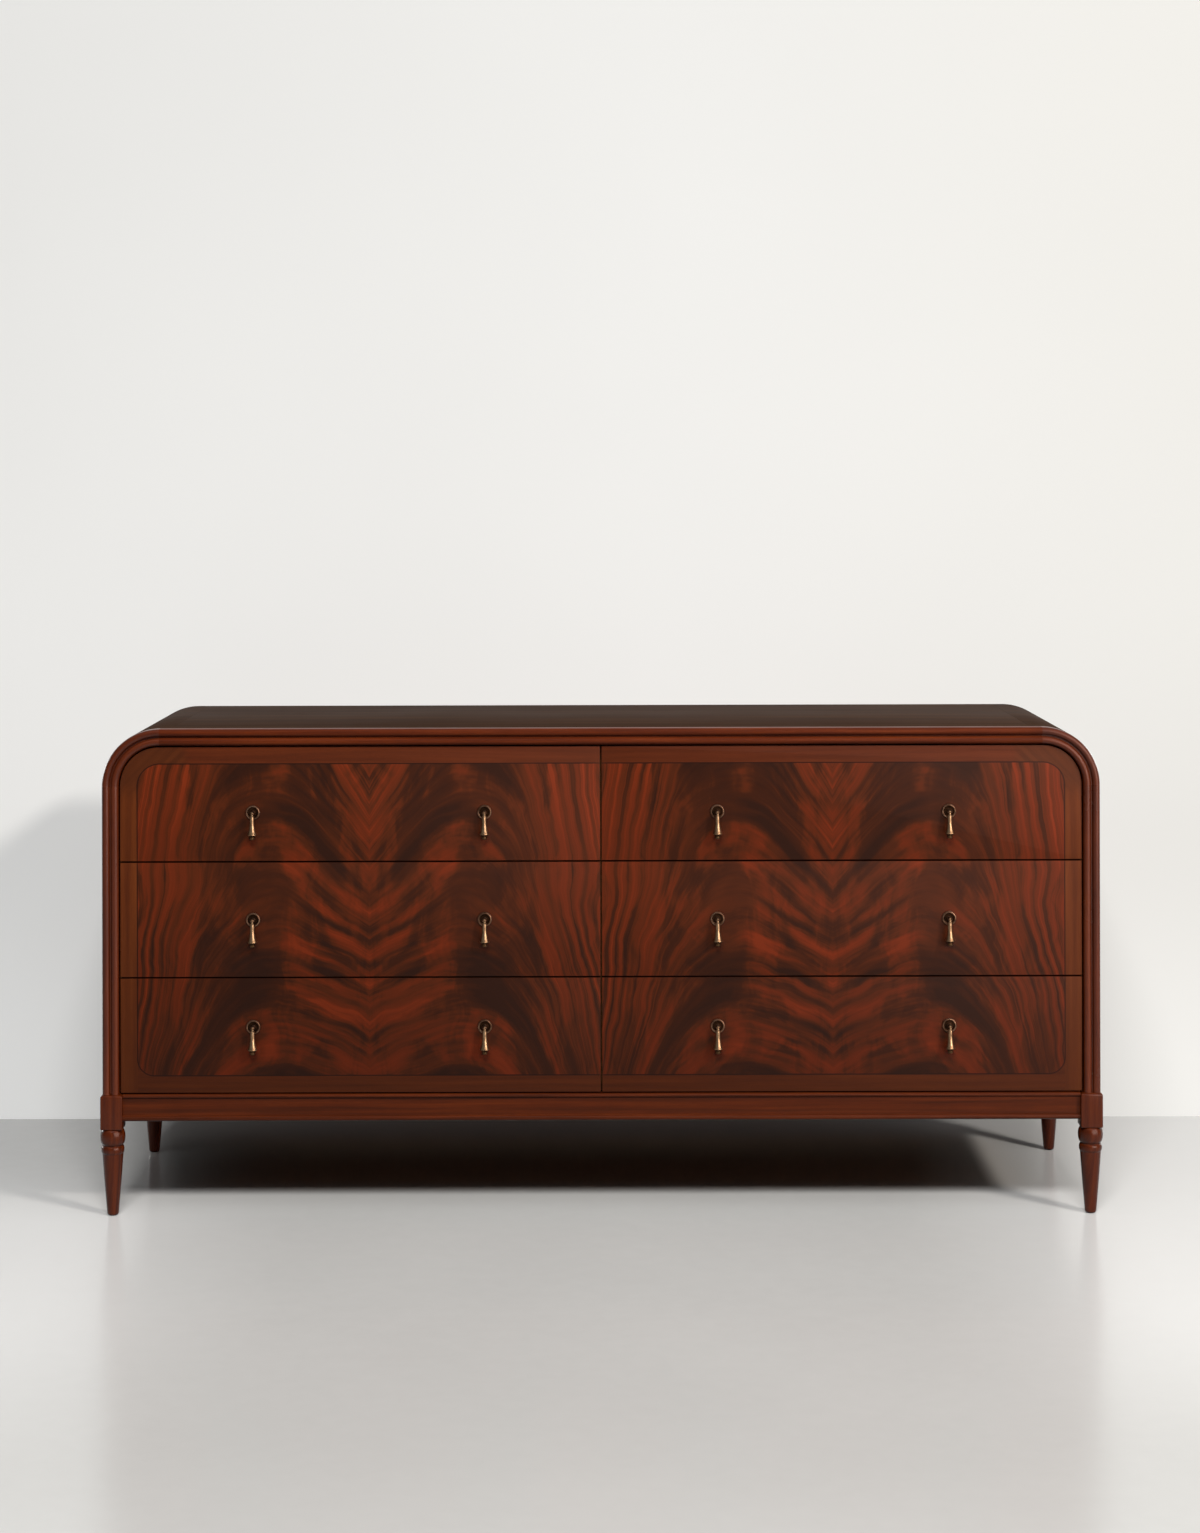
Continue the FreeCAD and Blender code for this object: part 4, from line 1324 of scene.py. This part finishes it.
# each lamp: place, aim, size, power, tint, what it lights and what its light does
lamps = {
    "key": ((5.4, -5.3, 5.35), (0.0, -0.1, 0.4), (1.1, 0.8), 360, "#fffaf4", "all", "shading"),
    "front": ((-0.2, -6.4, 6.2), (0.0, -0.1, 0.4), (3.0, 1.5), 492, "#ffffff", "all", "shading"),
    "window": ((3.9, -4.9, 1.9), (0.2, -0.2, 0.5), (5.4, 3.6), 310, "#ffece0", "part", "gloss"),
    "side": ((3.2, -3.0, 1.2), (0.4, -0.2, 0.4), (1.5, 1.5), 40, "#ffdcc4", "part", "shading"),
    "backLeft": ((-5.0, 3.4, 1.3), (0.0, 0.2, 0.45), (2.0, 1.4), 100, "#ffffff", "part", "both"),
    "backRight": ((4.4, 4.4, 1.5), (0.0, 0.2, 0.45), (2.0, 1.4), 90, "#ffffff", "part", "both"),
}


def makeLamps(sheets):
    # lamps for the part alone neither light nor are stopped by the wall and floor
    spared = bpy.data.collections.new("sparedSheets")
    for sheet in sheets:
        spared.objects.link(sheet)
    for item in spared.collection_objects:
        item.light_linking.link_state = "EXCLUDE"
    for name, (at, aim, size, power, colour, lights, gives) in lamps.items():
        data = bpy.data.lights.new(name, "AREA")
        data.shape = "RECTANGLE"
        data.size, data.size_y = size
        data.energy = power
        data.color = tint(colour)[:3]
        made = newObject(name, data)
        made.location = at
        made.rotation_euler = (Vector(aim) - Vector(at)).to_track_quat("-Z", "Y").to_euler()
        made.visible_camera = False
        made.visible_glossy = gives != "shading"
        made.visible_diffuse = gives != "gloss"
        if lights == "part":
            made.light_linking.receiver_collection = spared
            made.light_linking.blocker_collection = spared


view = {"at": (0.0, -4.973, 1.25), "lens": 66.2, "shift": -0.1917, "roll": 0.0025}


def makeCamera():
    data = bpy.data.cameras.new("camera")
    data.lens = view["lens"]
    data.sensor_width = 36
    data.shift_y = view["shift"]
    made = newObject("camera", data)
    made.location = view["at"]
    made.rotation_euler = (math.pi / 2, view["roll"], 0)
    bpy.context.scene.camera = made


sheets = (makeFloor(), makeWall())
makeWorld()
makeLamps(sheets)
makeCamera()
bpy.context.scene.view_settings.view_transform = "Standard"
print("room, lights and camera made")
